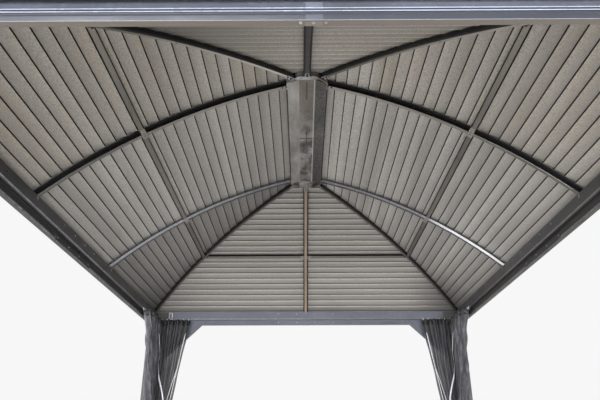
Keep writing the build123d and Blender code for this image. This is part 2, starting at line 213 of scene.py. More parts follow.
def hip_cut(side, end, room, slope):
    """Plane at some room from a hip's middle line, on a side slope (slope 1) or an end slope (slope -1)."""
    normal = Vector((-side, end, 0)).normalized() * slope
    return Vector((0, end * HIP_SHIFT, 0)) - normal * room, normal


def bays(room, hip_room):
    """Name, place and end planes of each bay, with room to the middle lines of rafters and hips."""
    for side_name, side in SIDES.items():
        place = Matrix.Rotation(0 if side > 0 else math.pi, 4, "Z")
        hips = [hip_cut(side, end, hip_room, 1) for end in ENDS.values()]
        for (end_name, end), hip in zip(ENDS.items(), hips):
            yield f"{side_name}_{end_name}", place, [((0, end * (RAFTER_LINE + room), 0), (0, -end, 0)), hip]
        middle = [((0, end * (RAFTER_LINE - room), 0), (0, end, 0)) for end in ENDS.values()]
        yield f"{side_name}_middle", place, middle + hips
    for end_name, end in ENDS.items():
        for side_name, side in SIDES.items():
            cuts = [((side * room, 0, 0), (-side, 0, 0)), hip_cut(side, end, hip_room, -1)]
            yield f"{end_name}_{side_name}", end_slope(end), cuts


# Modelling helpers

def object_mode():
    bpy.ops.object.mode_set(mode="OBJECT")


def start():
    """Leave edit mode and deselect everything, before a new piece."""
    if bpy.context.object and bpy.context.object.mode != "OBJECT":
        object_mode()
    bpy.ops.object.select_all(action="DESELECT")


def alone(piece):
    """Select one piece alone and make it the active one."""
    start()
    piece.select_set(True)
    bpy.context.view_layer.objects.active = piece


def apply_place():
    """Apply the place of the selected piece to its mesh."""
    bpy.ops.object.transform_apply(location=True, rotation=True, scale=True)


def edit_mode(kind="FACE"):
    """Open the active piece in edit mode, to select faces, edges or vertices."""
    bpy.ops.object.mode_set(mode="EDIT")
    bpy.ops.mesh.select_mode(type=kind)


def choose(test, kind="faces"):
    """In edit mode, select only the faces, edges or vertices that pass a test."""
    mesh = bpy.context.object.data
    edit = bmesh.from_edit_mesh(mesh)
    for element in [*edit.faces, *edit.edges, *edit.verts]:
        element.select_set(False)
    for element in getattr(edit, kind):
        if test(element):
            element.select_set(True)
    edit.select_flush_mode()
    bmesh.update_edit_mesh(mesh)


def choose_all():
    bpy.ops.mesh.select_all(action="SELECT")


def assign(index, test):
    """In edit mode, give the faces that pass a test one of the piece's materials."""
    choose(test)
    bpy.context.object.active_material_index = index
    bpy.ops.object.material_slot_assign()


def face_down():
    """In edit mode, make the normals agree, with that of the lowest face pointing down."""
    choose_all()
    bpy.ops.mesh.normals_make_consistent(inside=False)
    faces = bmesh.from_edit_mesh(bpy.context.object.data).faces
    if min(faces, key=lambda face: face.calc_center_median().z).normal.z > 0:
        bpy.ops.mesh.flip_normals()


def modify(piece, kind, **values):
    """Add a modifier to the piece, set its values and apply it."""
    alone(piece)
    modifier = piece.modifiers.new(kind.title(), kind)
    for name, value in values.items():
        setattr(modifier, name, value)
    bpy.ops.object.modifier_apply(modifier=modifier.name)


def thicken(piece, metal, offset=0, **values):
    """Give a sheet its thickness: half to each side, or all of it behind with an offset of -1."""
    modify(piece, "SOLIDIFY", thickness=metal, offset=offset, **values)


def ease(piece, width, segments=1, angle=0.9):
    """Round the edges that turn by more than an angle."""
    modify(piece, "BEVEL", width=width, segments=segments, limit_method="ANGLE", angle_limit=angle)


def copied(piece):
    """A copy of the piece with its own mesh."""
    twin = piece.copy()
    twin.data = piece.data.copy()
    bpy.context.scene.collection.objects.link(twin)
    return twin


def moved(piece, matrix):
    """Turn and move the mesh of a piece, with its object left at the origin."""
    piece.data.transform(matrix)
    if matrix.determinant() < 0:
        piece.data.flip_normals()
    piece.data.update()
    return piece


def painted(piece, *looks):
    """Give the piece these materials alone."""
    piece.data.materials.clear()
    for look in looks:
        piece.data.materials.append(LOOKS[look])
    return piece


def discard(*masters):
    for master in masters:
        bpy.data.objects.remove(master)


def joined(pieces):
    """Join several pieces into the first."""
    alone(pieces[0])
    for piece in pieces[1:]:
        piece.select_set(True)
    if len(pieces) > 1:
        bpy.ops.object.join()
    return pieces[0]


def keep(pieces, name):
    """Join the pieces into one, apply its place, and give it its name and body."""
    piece = joined(pieces)
    alone(piece)
    apply_place()
    piece.name = piece.data.name = name
    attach(piece, "root")
    return piece


def near(x, z, *offsets):
    """Profile of (x, z) points at offsets from one place."""
    return [(x + dx, z + dz) for dx, dz in offsets]


def strip(profile, low, high):
    """A strip of sheet along Y, with this profile of (x, z) points, extruded edge by edge."""
    start()
    bpy.ops.mesh.primitive_plane_add(size=1, location=(0, (low + high) / 2, 0))
    piece = bpy.context.object
    piece.scale = (SEED, high - low, 1)
    apply_place()
    edit_mode("VERT")
    for side, (x, z) in zip((-1, 1), profile[:2]):
        choose(lambda vertex: vertex.co.x * side > 0 and abs(vertex.co.x) < SEED, "verts")
        bpy.ops.transform.translate(value=(x - side * SEED / 2, 0, z))
    for (x, z), (next_x, next_z) in zip(profile[1:], profile[2:]):
        bpy.ops.mesh.extrude_region_move(TRANSFORM_OT_translate={"value": (next_x - x, 0, next_z - z)})
    object_mode()
    return piece


def folded(profile, low, high, metal, look, rounding=0.0):
    """Sheet metal bent along a profile of (x, z) points, with its edges rounded when a rounding is given."""
    piece = strip(profile, low, high)
    thicken(piece, metal)
    if rounding:
        ease(piece, rounding, segments=2)
    return painted(piece, look)


def folded_plate(profile, half_width, metal, look):
    return folded(profile, -half_width, half_width, metal, look, metal * 0.3)


def outline(points):
    """An open line of edges through points, drawn from a plane's edge, vertex by vertex."""
    start()
    bpy.ops.mesh.primitive_plane_add(size=SEED, location=(0, 0, 0))
    piece = bpy.context.object
    edit_mode("VERT")
    choose(lambda vertex: vertex.co.y > 0, "verts")
    bpy.ops.mesh.delete(type="VERT")
    for side, point in zip((-1, 1), points[:2]):
        choose(lambda vertex: vertex.co.x * side > 0 and vertex.co.length < SEED, "verts")
        bpy.ops.transform.translate(value=Vector(point) - Vector((side * SEED / 2, -SEED / 2, 0)))
    for point, after in zip(points[1:], points[2:]):
        bpy.ops.mesh.extrude_region_move(TRANSFORM_OT_translate={"value": Vector(after) - Vector(point)})
    object_mode()
    return piece


def cut(piece, point, normal):
    """Cut the piece off at a plane and keep the side that the normal points away from."""
    alone(piece)
    edit_mode()
    choose_all()
    bpy.ops.mesh.bisect(plane_co=point, plane_no=normal, clear_outer=True)
    object_mode()


# Materials

def add_node(tree, kind, inputs=None, **settings):
    """Add a shader node with its settings, and set its inputs or link them to other nodes' outputs."""
    node = tree.nodes.new(f"ShaderNode{kind}")
    for name, value in settings.items():
        setattr(node, name, value)
    fill(tree, node, inputs or {})
    return node


def fill(tree, node, inputs):
    for name, value in inputs.items():
        if isinstance(value, bpy.types.NodeSocket):
            tree.links.new(value, node.inputs[name])
        else:
            node.inputs[name].default_value = value


class Look:
    """A node material under construction, with its shader and a few ready-made inputs."""

    def __init__(self, name, roughness=0.4, metallic=0.0):
        self.material = bpy.data.materials.new(name)
        self.material.use_nodes = True
        self.tree = self.material.node_tree
        self.shader = self.tree.nodes["Principled BSDF"]
        self.place = self.node("TexCoord", "Object")
        self.finish(Roughness=roughness, Metallic=metallic)

    def node(self, kind, output, inputs=None, **settings):
        """Add a node and return one of its outputs."""
        return add_node(self.tree, kind, inputs, **settings).outputs[output]

    def finish(self, **inputs):
        """Set or link inputs of the shader."""
        fill(self.tree, self.shader, inputs)

    def noise(self, scale, detail=3.0, roughness=0.5, stretch=(1, 1, 1)):
        place = self.node("Mapping", "Vector", {"Scale": stretch, "Vector": self.place})
        inputs = {"Scale": scale, "Detail": detail, "Roughness": roughness, "Vector": place}
        return self.node("TexNoise", "Fac", inputs)

    def cells(self, scale):
        inputs = {"Scale": scale, "Vector": self.place}
        return self.node("TexVoronoi", "Distance", inputs, feature="SMOOTH_F1")

    def attribute(self, name):
        return self.node("Attribute", "Fac", attribute_name=name)

    def times(self, first, second):
        return self.node("Math", "Value", {0: first, 1: second}, operation="MULTIPLY")

    def at(self, axis):
        """Object coordinate along one axis."""
        return self.node("SeparateXYZ", axis, {"Vector": self.place})

    def facing(self, axis):
        """How far the surface faces along one axis, from -1 to 1."""
        return self.node("SeparateXYZ", axis, {"Vector": self.node("NewGeometry", "Normal")})

    def ramp(self, factor, low, high, low_value=0, high_value=1):
        """Map a factor from one range to another."""
        ends = {"From Min": low, "From Max": high, "To Min": low_value, "To Max": high_value}
        return self.node("MapRange", "Result", {**ends, "Value": factor})

    def span(self, axis, *ends):
        """Map the object coordinate along one axis from one range to another."""
        return self.ramp(self.at(axis), *ends)

    def mix(self, factor, first, second):
        """Mix two colours by a factor."""
        colours = {
            name: colour if isinstance(colour, bpy.types.NodeSocket) else (*colour, 1)
            for name, colour in (("A", first), ("B", second))
        }
        return self.node("Mix", "Result", {**colours, "Factor": factor}, data_type="RGBA")

    def fade(self, base, other, axis, first, last, low=0, high=1):
        """Mix another colour in between two places along an axis."""
        return self.mix(self.span(axis, first, last, low, high), base, other)

    def bump(self, height, strength, distance):
        """Bump from a height, on top of the bump that the shader has already."""
        inputs = {"Strength": strength, "Distance": distance, "Height": height}
        normal = self.shader.inputs["Normal"]
        if normal.is_linked:
            inputs["Normal"] = normal.links[0].from_socket
        self.finish(Normal=self.node("Bump", "Normal", inputs))

    def patchy(self, scale, detail, low, high):
        """Make the roughness vary in patches."""
        self.finish(Roughness=self.ramp(self.noise(scale, detail), 0.3, 0.7, low, high))

    def done(self, colour):
        self.tree.links.new(colour, self.shader.inputs["Base Color"])
        return self.material


def shade(colour, factor):
    """The colour made darker or lighter by a factor."""
    return tuple(min(1.0, part * factor) for part in colour)


def scaled(colour, *factors):
    """The colour with a factor for each of red, green and blue."""
    return tuple(part * factor for part, factor in zip(colour, factors))


def coat(look, colour, roughness):
    """Colour clouds, dust, patches and orange peel of a powder coat. Returns the colour."""
    cloud = look.ramp(look.noise(2.2, 4), 0.35, 0.65)
    dust = look.ramp(look.noise(60, 5, 0.6), 0.52, 0.75, 0, 0.6)
    look.patchy(7, 4, roughness - 0.07, roughness + 0.09)
    look.bump(look.noise(900, 2), 0.12, 0.0004)
    look.bump(look.noise(5, 2), 0.05, 0.004)
    return look.mix(dust, look.mix(cloud, shade(colour, 0.86), shade(colour, 1.12)), shade(colour, 1.5))


def powder_coat(name, colour, roughness=0.34, metallic=0.0):
    """Satin powder coat with a fine orange peel, dull patches and a little dust."""
    look = Look(name, roughness, metallic)
    return look.done(coat(look, colour, roughness))


def graded_coat(name, colour, other, axis, first, last):
    """Powder coat that fades from one colour to another between two places along an axis, as painted light
    and shade.
    """
    look = Look(name, 0.34, 0.3)
    return look.done(look.fade(coat(look, colour, 0.34), other, axis, first, last))


def beam_coat(name, colour, inner, under):
    """Powder coat of the beams: slate, with painted shade in charcoal inside and under the side beams and low
    on the outer faces of the end beams, and a brown painted reflection of the floor under the end beams.
    """
    roughness, lower_bead = 0.36, 2.024
    look = Look(name, roughness, 0.25)
    base = coat(look, colour, roughness)
    along_side = look.ramp(look.times(look.at("X"), look.at("X")), BEAM_INNER**2 - 0.02, BEAM_INNER**2 - 0.01)
    # Painted light on the undersides at the foot: a brown painted reflection of the floor under the end
    # beams, charcoal painted shade under the side beams.
    underside_painted_light = look.ramp(look.facing("Z"), -0.75, -0.95)
    underside_painted_light = look.times(underside_painted_light, look.span("Z", BEAM_FOOT + 0.008, BEAM_FOOT + 0.004))
    base = look.mix(underside_painted_light, base, look.mix(along_side, under, inner))
    # Painted shade: charcoal on the inner faces of the side beams, and darker low on the outer faces of the
    # end beams.
    inner_shade = look.ramp(look.times(look.at("X"), look.facing("X")), -0.8, -1.2)
    outer_shade = look.ramp(look.times(look.at("Y"), look.facing("Y")), 0.5, 1.2)
    lower = look.span("Z", lower_bead, lower_bead + 0.006, 0.95, 0.05)
    base = look.mix(look.times(outer_shade, lower), base, shade(colour, 0.4))
    return look.done(look.mix(inner_shade, base, inner))


def embossed_sheet(name, colour, along, roughness=0.4, shaded=False):
    """Painted sheet, embossed with pebbles and slightly wavy, with strips of uneven tone and painted shade at
    their foot.
    It has painted light: more yellow and lighter at the front, streaks of painted sheen along the ribs, a
    painted highlight at the top of each strip on the end slopes and more painted sheen towards the ridge on
    the side slopes.
    It has painted shade in the back right corner and, when shaded, towards the left."""
    look = Look(name, roughness, 0.25)
    across, pebbles = look.attribute("across"), look.cells(135)
    wave = look.noise(1.0, 3, 0.5, (0.35, 5, 5) if along == "X" else (5, 0.35, 5))
    cloud = look.ramp(look.noise(1.4, 4), 0.35, 0.65)
    base = look.mix(cloud, shade(colour, 0.93), shade(colour, 1.06))
    # Painted light: more yellow and lighter towards the front.
    warm_lit = scaled(colour, 1.14, 1.02, 0.85)
    base = look.fade(base, look.mix(cloud, warm_lit, shade(warm_lit, 1.13)), "Y", -0.85, -0.45, 0.9, 0)
    # Painted sheen in streaks along the ribs, from the noise that also makes the sheet wavy.
    base = look.mix(look.ramp(wave, 0.38, 0.66, 0, 0.7), base, shade(colour, 1.3))
    base = look.mix(look.ramp(look.attribute("tone"), 0, 1, 0, 0.3), base, shade(colour, 0.4))
    # Painted shade at the foot of each strip, beside the step.
    base = look.mix(look.ramp(across, 0, 1, 0.55, 0), base, shade(colour, 0.35))
    if along == "X":
        # Painted highlight along the top of each strip of the end slopes.
        base = look.mix(look.ramp(across, 0.7, 0.95, 0, 0.55), base, shade(colour, 1.9))
    else:
        # Painted sheen in streaks, strongest on the right slope towards the ridge.
        painted_sheen = look.times(look.span("X", 0, 0.15, 0.2, 1), look.span("X", 0.5, 0.95, 0.8, 0))
        painted_sheen = look.times(painted_sheen, look.span("Y", -1.1, -0.7, 0.45, 1))
        painted_sheen = look.times(painted_sheen, look.ramp(wave, 0.34, 0.6, 0.2, 1))
        base = look.mix(painted_sheen, base, shade(colour, 1.7))
    # Painted shade in the back right corner.
    corner = look.times(look.span("X", 0.95, 1.3, 0, 0.75), look.span("Y", 1.4, 1.85))
    base = look.mix(corner, base, shade(colour, 0.3))
    if shaded:
        base = look.fade(base, shade(colour, 0.2), "X", -0.75, -0.05, 1, 0.05)
    look.patchy(4, 4, roughness - 0.08, roughness + 0.08)
    look.bump(pebbles, 0.8, 0.003)
    look.bump(look.noise(620, 3), 0.15, 0.0005)
    look.bump(wave, 0.5, 0.01)
    return look.done(look.mix(look.ramp(pebbles, 0.25, 0.62, 0, 0.5), base, shade(colour, 0.55)))


def galvanised(name, colour):
    """Bare galvanised steel of the ridge: a left plate made lighter as painted light, a middle that is
    brownish at the front and blotchy further back with a painted highlight along its right edge, and a right
    plate darkened as painted shade, most towards the back.
    """
    look = Look(name, 0.33, 0.6)
    fold = RIDGE_CROWN_HALF
    smear = look.ramp(look.noise(3.2, 5, 0.6, (2, 0.8, 1)), 0.36, 0.66)
    blotch = look.ramp(look.noise(6.5, 5, 0.65, (1.6, 1, 1)), 0.43, 0.6)
    side = look.mix(smear, shade(colour, 0.8), shade(colour, 2.0))
    clean = look.mix(blotch, shade(colour, 0.12), shade(colour, 1.05))
    darker_brown = look.mix(smear, (0.12, 0.1, 0.082), (0.205, 0.178, 0.152))
    middle = look.fade(darker_brown, clean, "Y", -0.42, 0)
    # Painted shade on the right plate, darkest towards the back.
    dark = look.mix(smear, shade(colour, 0.13), shade(colour, 0.3))
    dark = look.fade(dark, shade(colour, 0.06), "Y", -0.4, 0.4, 0, 0.8)
    # A lighter left plate as painted light, and a painted highlight along the right edge of the middle.
    base = look.fade(middle, side, "X", 0.004 - fold, 0.0005 - fold)
    base = look.fade(base, shade(colour, 2.2), "X", fold - 0.009, fold - 0.004, 0, 0.8)
    base = look.fade(base, dark, "X", fold - 0.003, fold + 0.003)
    look.finish(Roughness=look.ramp(smear, 0, 1, 0.47, 0.27))
    look.bump(look.noise(4, 3), 0.15, 0.01)
    look.bump(look.noise(500, 2), 0.08, 0.0004)
    return look.done(look.mix(look.ramp(look.cells(85), 0.1, 0.7, 0, 0.3), base, shade(colour, 1.1)))


def zinc_plate(name, colour):
    """Zinc-plated steel, with painted shade that makes it darker and browner on the right and towards the
    back.
    """
    look = Look(name, 0.3, 0.9)
    base = look.mix(look.ramp(look.noise(45, 5, 0.6), 0.35, 0.65), shade(colour, 0.6), shade(colour, 1.2))
    darker_brown = scaled(colour, 0.5, 0.46, 0.4)
    # Painted shade: darker and browner towards the right, and again towards the back.
    base = look.fade(base, darker_brown, "X", -0.02, 0.05, 0, 0.8)
    look.patchy(160, 3, 0.22, 0.42)
    look.bump(look.noise(1400, 2), 0.1, 0.0002)
    return look.done(look.fade(base, darker_brown, "Y", 0.2, 0.7, 0, 0.5))


def open_net(name, colour):
    """Fine mosquito net: a dark open weave, denser where it is gathered, with streaks of painted shade and
    sheen down it, painted highlights on slanting wrinkles and painted shade on the end parts, under the end
    rails.
    """
    look = Look(name, 0.6)
    weave = look.node(
        "TexWave", "Fac", {"Scale": 190, "Distortion": 1.5, "Vector": look.place}, bands_direction="Z"
    )
    # Streaks of painted shade and sheen down the net, which also make it denser.
    streak_shade_and_sheen = look.ramp(look.noise(34, 5, 0.65, (1, 1, 0.1)), 0.42, 0.64)
    # Painted highlights on slanting wrinkles.
    slant = look.ramp(look.noise(19, 5, 0.7, (1, 0.7, 0.35)), 0.54, 0.66, 0, 0.85)
    base = look.mix(streak_shade_and_sheen, shade(colour, 0.4), shade(colour, 3.2))
    base = look.mix(slant, base, scaled(colour, 8, 8, 9))
    # Painted shade on the end parts, under the end rails.
    end_shade = look.ramp(look.times(look.at("Y"), look.at("Y")), 3.5, 3.66, 0, 0.7)
    base = look.mix(end_shade, base, shade(colour, 0.3))
    look.finish(Alpha=look.ramp(streak_shade_and_sheen, 0, 1, 0.86, 0.97))
    fill(look.tree, look.shader, {"Sheen Weight": 0.25, "Sheen Roughness": 0.4})
    look.bump(look.noise(420, 3), 0.3, 0.0006)
    return look.done(look.mix(weave, base, shade(colour, 1.2)))


def woven_tape(name, colour):
    """Coated edge tape with a fine rib along it."""
    look = Look(name, 0.5)
    rib = look.noise(700, 2, 0.5, (1, 1, 0.3))
    look.finish(Roughness=look.ramp(rib, 0.3, 0.7, 0.42, 0.62))
    look.bump(rib, 0.4, 0.0006)
    return look.done(look.mix(rib, shade(colour, 0.75), shade(colour, 1.15)))


def plastic(name, colour):
    """Moulded nylon."""
    look = Look(name, 0.42)
    look.patchy(120, 3, 0.36, 0.5)
    look.bump(look.noise(800, 2), 0.1, 0.0003)
    return look.done(look.mix(look.noise(40, 3), shade(colour, 0.92), colour))


def make_looks():
    """Make every material once."""
    inside, outside = sizes_of("sheets").inside, sizes_of("sheets").outside
    paints, curtains = sizes_of("paints"), sizes_of("curtains")
    inner, bar = shade(paints.frame, 1.1), paints.bar
    LOOKS.update(
        # Every sheet look carries painted light and shade, as embossed_sheet says.
        sheet_x=embossed_sheet("sheet_inside_ends", inside, "X"),
        sheet_y=embossed_sheet("sheet_inside_sides", inside, "Y"),
        # A darker copy of the side sheets for the left back bay: painted shade.
        sheet_dull=embossed_sheet("sheet_inside_dull", shade(inside, 0.64), "Y"),
        sheet_shaded=embossed_sheet("sheet_inside_shaded", inside, "X", shaded=True),
        sheet_top=embossed_sheet("sheet_outside", outside, "Y", 0.5),
        # Black seams: painted shade in the slots above the steps.
        seam=powder_coat("sheet_seam", shade(inside, 0.03), 0.9),
        frame=powder_coat("frame_charcoal", paints.frame),
        # Beams: the brown under colours are a painted reflection of the floor and the charcoal inner colour
        # is painted shade, see beam_coat.
        beam=beam_coat("beam_slate", paints.beam, inner, (0.165, 0.144, 0.122)),
        sleeve=beam_coat("joint_sleeve", shade(paints.beam, 1.7), inner, (0.2, 0.178, 0.15)),
        bar=powder_coat("bar_taupe", bar, 0.34, 0.2),
        # Lit web of the side rafters, near white towards the foot on the right: painted light.
        web=graded_coat("rafter_web", (0.29, 0.305, 0.34), (0.85, 0.87, 0.92), "X", 0.85, 1.0),
        # Front hip keels, the left lighter towards the hub and the right darker towards it: painted light and
        # shade.
        keel_left=graded_coat("hip_keel_left", shade(bar, 0.42), shade(bar, 2.2), "Z", 2.5, 2.76),
        keel_right=graded_coat("hip_keel_right", shade(bar, 1.5), shade(bar, 0.4), "Z", 2.5, 2.72),
        # Dark copy of the bar paint: painted shade on the back hips and some purlins; the foot brackets take
        # it too.
        dim_keel=powder_coat("rafter_keel_dim", shade(bar, 0.4), 0.34, 0.3),
        # Flanges of the front side rafters, darker towards the foot: painted shade.
        flange=graded_coat("rafter_flange", shade(bar, 0.42), shade(bar, 1.15), "Z", 2.3, 2.7),
        # Purlins lighter at the front and darker further back: painted light and shade.
        purlin=graded_coat("purlin_taupe", shade(bar, 1.3), shade(bar, 0.55), "Y", -1.9, -0.9),
        # Lighter tan of the back end rafter: painted light.
        tan=powder_coat("rafter_tan", (0.27, 0.215, 0.155), 0.36, 0.2),
        # Bright beads: painted highlights.
        bead=powder_coat("beam_bead", shade(paints.beam, 4), 0.3, 0.3),
        strap=powder_coat("strap_taupe", shade(bar, 0.9), 0.34, 0.4),
        # Black for screws and bolts, and painted shade inside channels, on rafter sides and in gaps.
        hollow=powder_coat("hollow_black", shade(paints.frame, 0.3), 0.6),
        # Ridge and zinc looks carry painted light and shade, see galvanised and zinc_plate.
        ridge=galvanised("ridge_galvanised", paints.ridge),
        dull_zinc=zinc_plate("plate_zinc", shade(paints.zinc, 0.75)),
        zinc=zinc_plate("fastener_zinc", paints.zinc),
        # Bright metal for the rail end clips, and painted highlights as strips on the beams and rails.
        bright=zinc_plate("strip_aluminium", (0.66, 0.66, 0.7)),
        # The net carries painted shade and highlights, see open_net.
        net=open_net("curtain_net", curtains.net),
        tape=woven_tape("curtain_tape", curtains.tape),
        webbing=woven_tape("curtain_webbing", shade(curtains.net, 0.6)),
        nylon=plastic("glider_nylon", (0.72, 0.72, 0.7)),
    )


# Pieces

class GAZEBO_OT_paint_frame(bpy.types.Operator):
    """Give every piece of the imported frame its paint"""

    bl_idname = "gazebo.paint_frame"
    bl_label = "Paint the frame"

    def execute(self, context):
        make_looks()
        paints = {
            # The side rails take the charcoal frame paint, darker than the slate end rails, as painted shade.
            "post_": "frame", "beam_": "beam", "rail_left": "frame", "rail_right": "frame", "rail_": "beam",
            "corner_gussets": "beam", "side_rafter": "frame", "end_rafter": "frame", "hip_rafter": "frame",
            "side_purlins": "bar", "end_purlins": "bar", "ridge_beam": "ridge", "ridge_hub": "dull_zinc",
            "ridge_cap": "frame", "hip_caps": "frame", "eave_trims": "frame", "roof_": "sheet_top",
            "curtain_": "net",
        }
        for name, node in frame["nodes"].items():
            found = [look for beginning, look in paints.items() if name.startswith(beginning)]
            if not found:
                raise RuntimeError(f"no paint for {name}")
            painted(node, found[0])
        return {"FINISHED"}


def rib_profile():
    """Profile of the ribbed sheet, from the eave up to the ridge, with a step and a seam at each pitch."""
    sizes = sizes_of("sheets")
    radius = arch()[2] + sizes_of("arch").rafter_depth
    turn, seam_turn, phase = sizes.pitch / radius, sizes.seam_width / radius, sizes.phase / radius
    purlin, skin = slope_angle(purlin_x()), 0.0003
    eave, ridge = slope_angle(SHEET_EDGE - 0.001), slope_angle(sizes.joint / 2)
    ceiling = sizes.step + sizes.seam_depth
    points = [on_slope(eave, skin)]
    angle = purlin + math.floor((eave - purlin - phase) / turn - 0.2) * turn + phase
    while angle - turn > ridge:
        points += [on_slope(angle + seam_turn, skin), on_slope(angle + seam_turn, ceiling)]
        points += [on_slope(angle, ceiling), on_slope(angle, sizes.step)]
        angle -= turn
    return [*points, on_slope(ridge, 0.003)]


def mark_tones(band):
    """Give each strip of the band a tone of its own, and mark how far each point is up its strip."""
    sizes = sizes_of("sheets")
    centre_x, centre_z, radius = arch()
    radius += sizes_of("arch").rafter_depth
    purlin = slope_angle(purlin_x())
    tone = band.data.attributes.new("tone", "FLOAT", "FACE")
    for polygon, value in zip(band.data.polygons, tone.data):
        angle = math.atan2(polygon.center.x - centre_x, polygon.center.z - centre_z)
        strip_number = math.floor(((angle - purlin) * radius - sizes.phase) / sizes.pitch)
        value.value = math.sin(strip_number * 12.99) * 43758.5 % 1       # uneven, but the same in every run
    across = band.data.attributes.new("across", "FLOAT", "POINT")
    for vertex, value in zip(band.data.vertices, across.data):
        lift = math.hypot(vertex.co.x - centre_x, vertex.co.z - centre_z) - radius
        value.value = max(0, 1 - lift / sizes.step)


def ribbed_band():
    """One long band of ribbed sheet on the right-hand slope, with its seams marked by a second material,
    black as painted shade.
    """
    reach, seam_width = HALF_LENGTH * 1.2, sizes_of("sheets").seam_width

    def is_seam(face):
        return face.calc_area() / max(edge.calc_length() for edge in face.edges) < seam_width * 1.05

    band = strip(rib_profile(), -reach, reach)
    mark_tones(band)
    painted(band, "sheet_y", "seam", "sheet_top")
    alone(band)
    edit_mode()
    if band.data.polygons[0].normal.z > 0:
        choose_all()
        bpy.ops.mesh.flip_normals()
    assign(1, is_seam)
    object_mode()
    ease(band, 0.0006, angle=0.6)
    return band


class GAZEBO_OT_roof_sheets(bpy.types.Operator):
    """Make the ribbed roof sheets of all four slopes"""

    bl_idname = "gazebo.roof_sheets"
    bl_label = "Roof sheets"

    def execute(self, context):
        sizes = context.scene.gazebo_sheets
        band = ribbed_band()
        # Darker copies of the sheet paint as painted shade: the left back bay all over, the front left end
        # bay towards the left.
        insides = {"left_back": "sheet_dull", "front_left": "sheet_shaded"}
        for bay, place, cuts in bays(sizes.joint / 2, sizes.joint / 2):
            sheet = moved(copied(band), place)
            for point, normal in cuts:
                cut(sheet, point, normal)
            usual = "sheet_y" if bay.startswith(("left", "right")) else "sheet_x"
            sheet.data.materials[0] = LOOKS[insides.get(bay, usual)]
            thicken(sheet, sizes.thickness, -1, material_offset=2, material_offset_rim=2)
            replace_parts(keep([sheet], f"roof_{bay}_ribbed"), f"roof_{bay}")
        discard(band)
        return {"FINISHED"}


def arched_bar(section, head, stretch):
    """A bar along X: a section of (y, lift) points swept along the arch. Its flat has the first material,
    its sides the second and the top of its sides the third, which this function makes black, as painted
    shade."""
    sizes = sizes_of("arch")
    centre_x, centre_z, radius = arch()
    first, last = slope_angle(head), slope_angle(RAFTER_HIGH.x)
    bar = outline([
        (centre_x + (radius + lift) * math.sin(first), y, centre_z + (radius + lift) * math.cos(first))
        for y, lift in section
    ])
    painted(bar, "bar", "hollow", "hollow", "hollow")
    alone(bar)
    edit_mode("EDGE")
    choose_all()
    bpy.ops.mesh.spin(steps=24, angle=first - last, center=(centre_x, 0, centre_z), axis=(0, 1, 0))
    bpy.ops.mesh.select_mode(type="FACE")
    face_down()
    centre, dark_radius = Vector((centre_x, 0, centre_z)), radius + sizes.rafter_depth - 0.012
    assign(1, lambda face: abs(face.normal.y) > 0.3 or face.normal.z > 0)
    # The top of the sides is black as painted shade under the sheets.
    assign(2, lambda face: (face.calc_center_median() - centre).length > dark_radius)
    choose_all()
    bpy.ops.transform.resize(value=(stretch, 1, 1), center_override=(0, 0, 0), orient_type="GLOBAL")
    object_mode()
    cut(bar, (0, 0, EAVE + 0.0003), DOWN)
    thicken(bar, sizes.metal, -1, material_offset=2, material_offset_rim=0)
    ease(bar, 0.0006, angle=0.5)
    return bar


class GAZEBO_OT_rafters(bpy.types.Operator):
    """Make the side rafters, channels that open towards the ends, and the keeled end and hip rafters"""

    bl_idname = "gazebo.rafters"
    bl_label = "Rafters"

    def execute(self, context):
        sizes = context.scene.gazebo_arch
        half, top = RAFTER_WIDTH / 2, sizes.rafter_depth - 0.0006
        flange, shelf = sizes.flange - half, top - 0.004
        section = [(flange, sizes.lip), (flange, 0), (-half, 0), (-half, top - 0.011), (-half, shelf)]
        channel = arched_bar([*section, (half, shelf)], RAFTER_LOW.x, 1)
        # The webs take the lit colour: painted light.
        channel.data.materials[1] = LOOKS["web"]

        def keel(half):
            foot = half * 0.55
            return [(-half, top), (-half, sizes.keel), (-foot, 0), (foot, 0), (half, sizes.keel), (half, top)]

        def lay(bar, node, place, look):
            rafter = keep([moved(copied(bar), place)], f"{node}_bar")
            rafter.data.materials[0] = LOOKS[look]
            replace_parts(rafter, node)

        straight = arched_bar(keel(half), RAFTER_LOW.x, 1)
        hip_half = sizes.hip_width / 2
        hip_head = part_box("hip_rafter_back_right")[0].x + hip_half / math.sqrt(2)
        diagonal = arched_bar(keel(hip_half), hip_head, math.sqrt(2))
        # Rafters that are alike take different paints front and back, left and right: painted light and
        # shade.
        for end_name, end in ENDS.items():
            back = end > 0
            lay(straight, f"end_rafter_{end_name}", end_slope(end), "tan" if back else "frame")
            for side_name, side in SIDES.items():
                corner = f"{end_name}_{side_name}"
                place = corner_mirror(side, end) @ Matrix.Translation((0, RAFTER_LINE, 0))
                lay(channel, f"side_rafter_{corner}", place, "frame" if back else "flange")
                turn = Matrix.Rotation(math.atan2(end, side), 4, "Z")
                place = Matrix.Translation((0, end * HIP_SHIFT, 0)) @ turn
                lay(diagonal, f"hip_rafter_{corner}", place, "dim_keel" if back else f"keel_{side_name}")
        discard(channel, straight, diagonal)
        return {"FINISHED"}


def purlin_section():
    """Section of a purlin: a channel that opens up the slope, with a small lip at its lower flange."""
    sizes = sizes_of("arch")
    angle = slope_angle(purlin_x())
    along = Vector((-math.cos(angle), math.sin(angle)))
    half, top, foot = 0.0149, -0.0015, -sizes.purlin_depth
    shelf = half * 0.6
    return [
        tuple(Vector(on_slope(angle, lift)) + along * run)
        for run, lift in ((half, top), (-half, top), (-half, foot), (shelf, foot), (shelf, foot + 0.003))
    ]


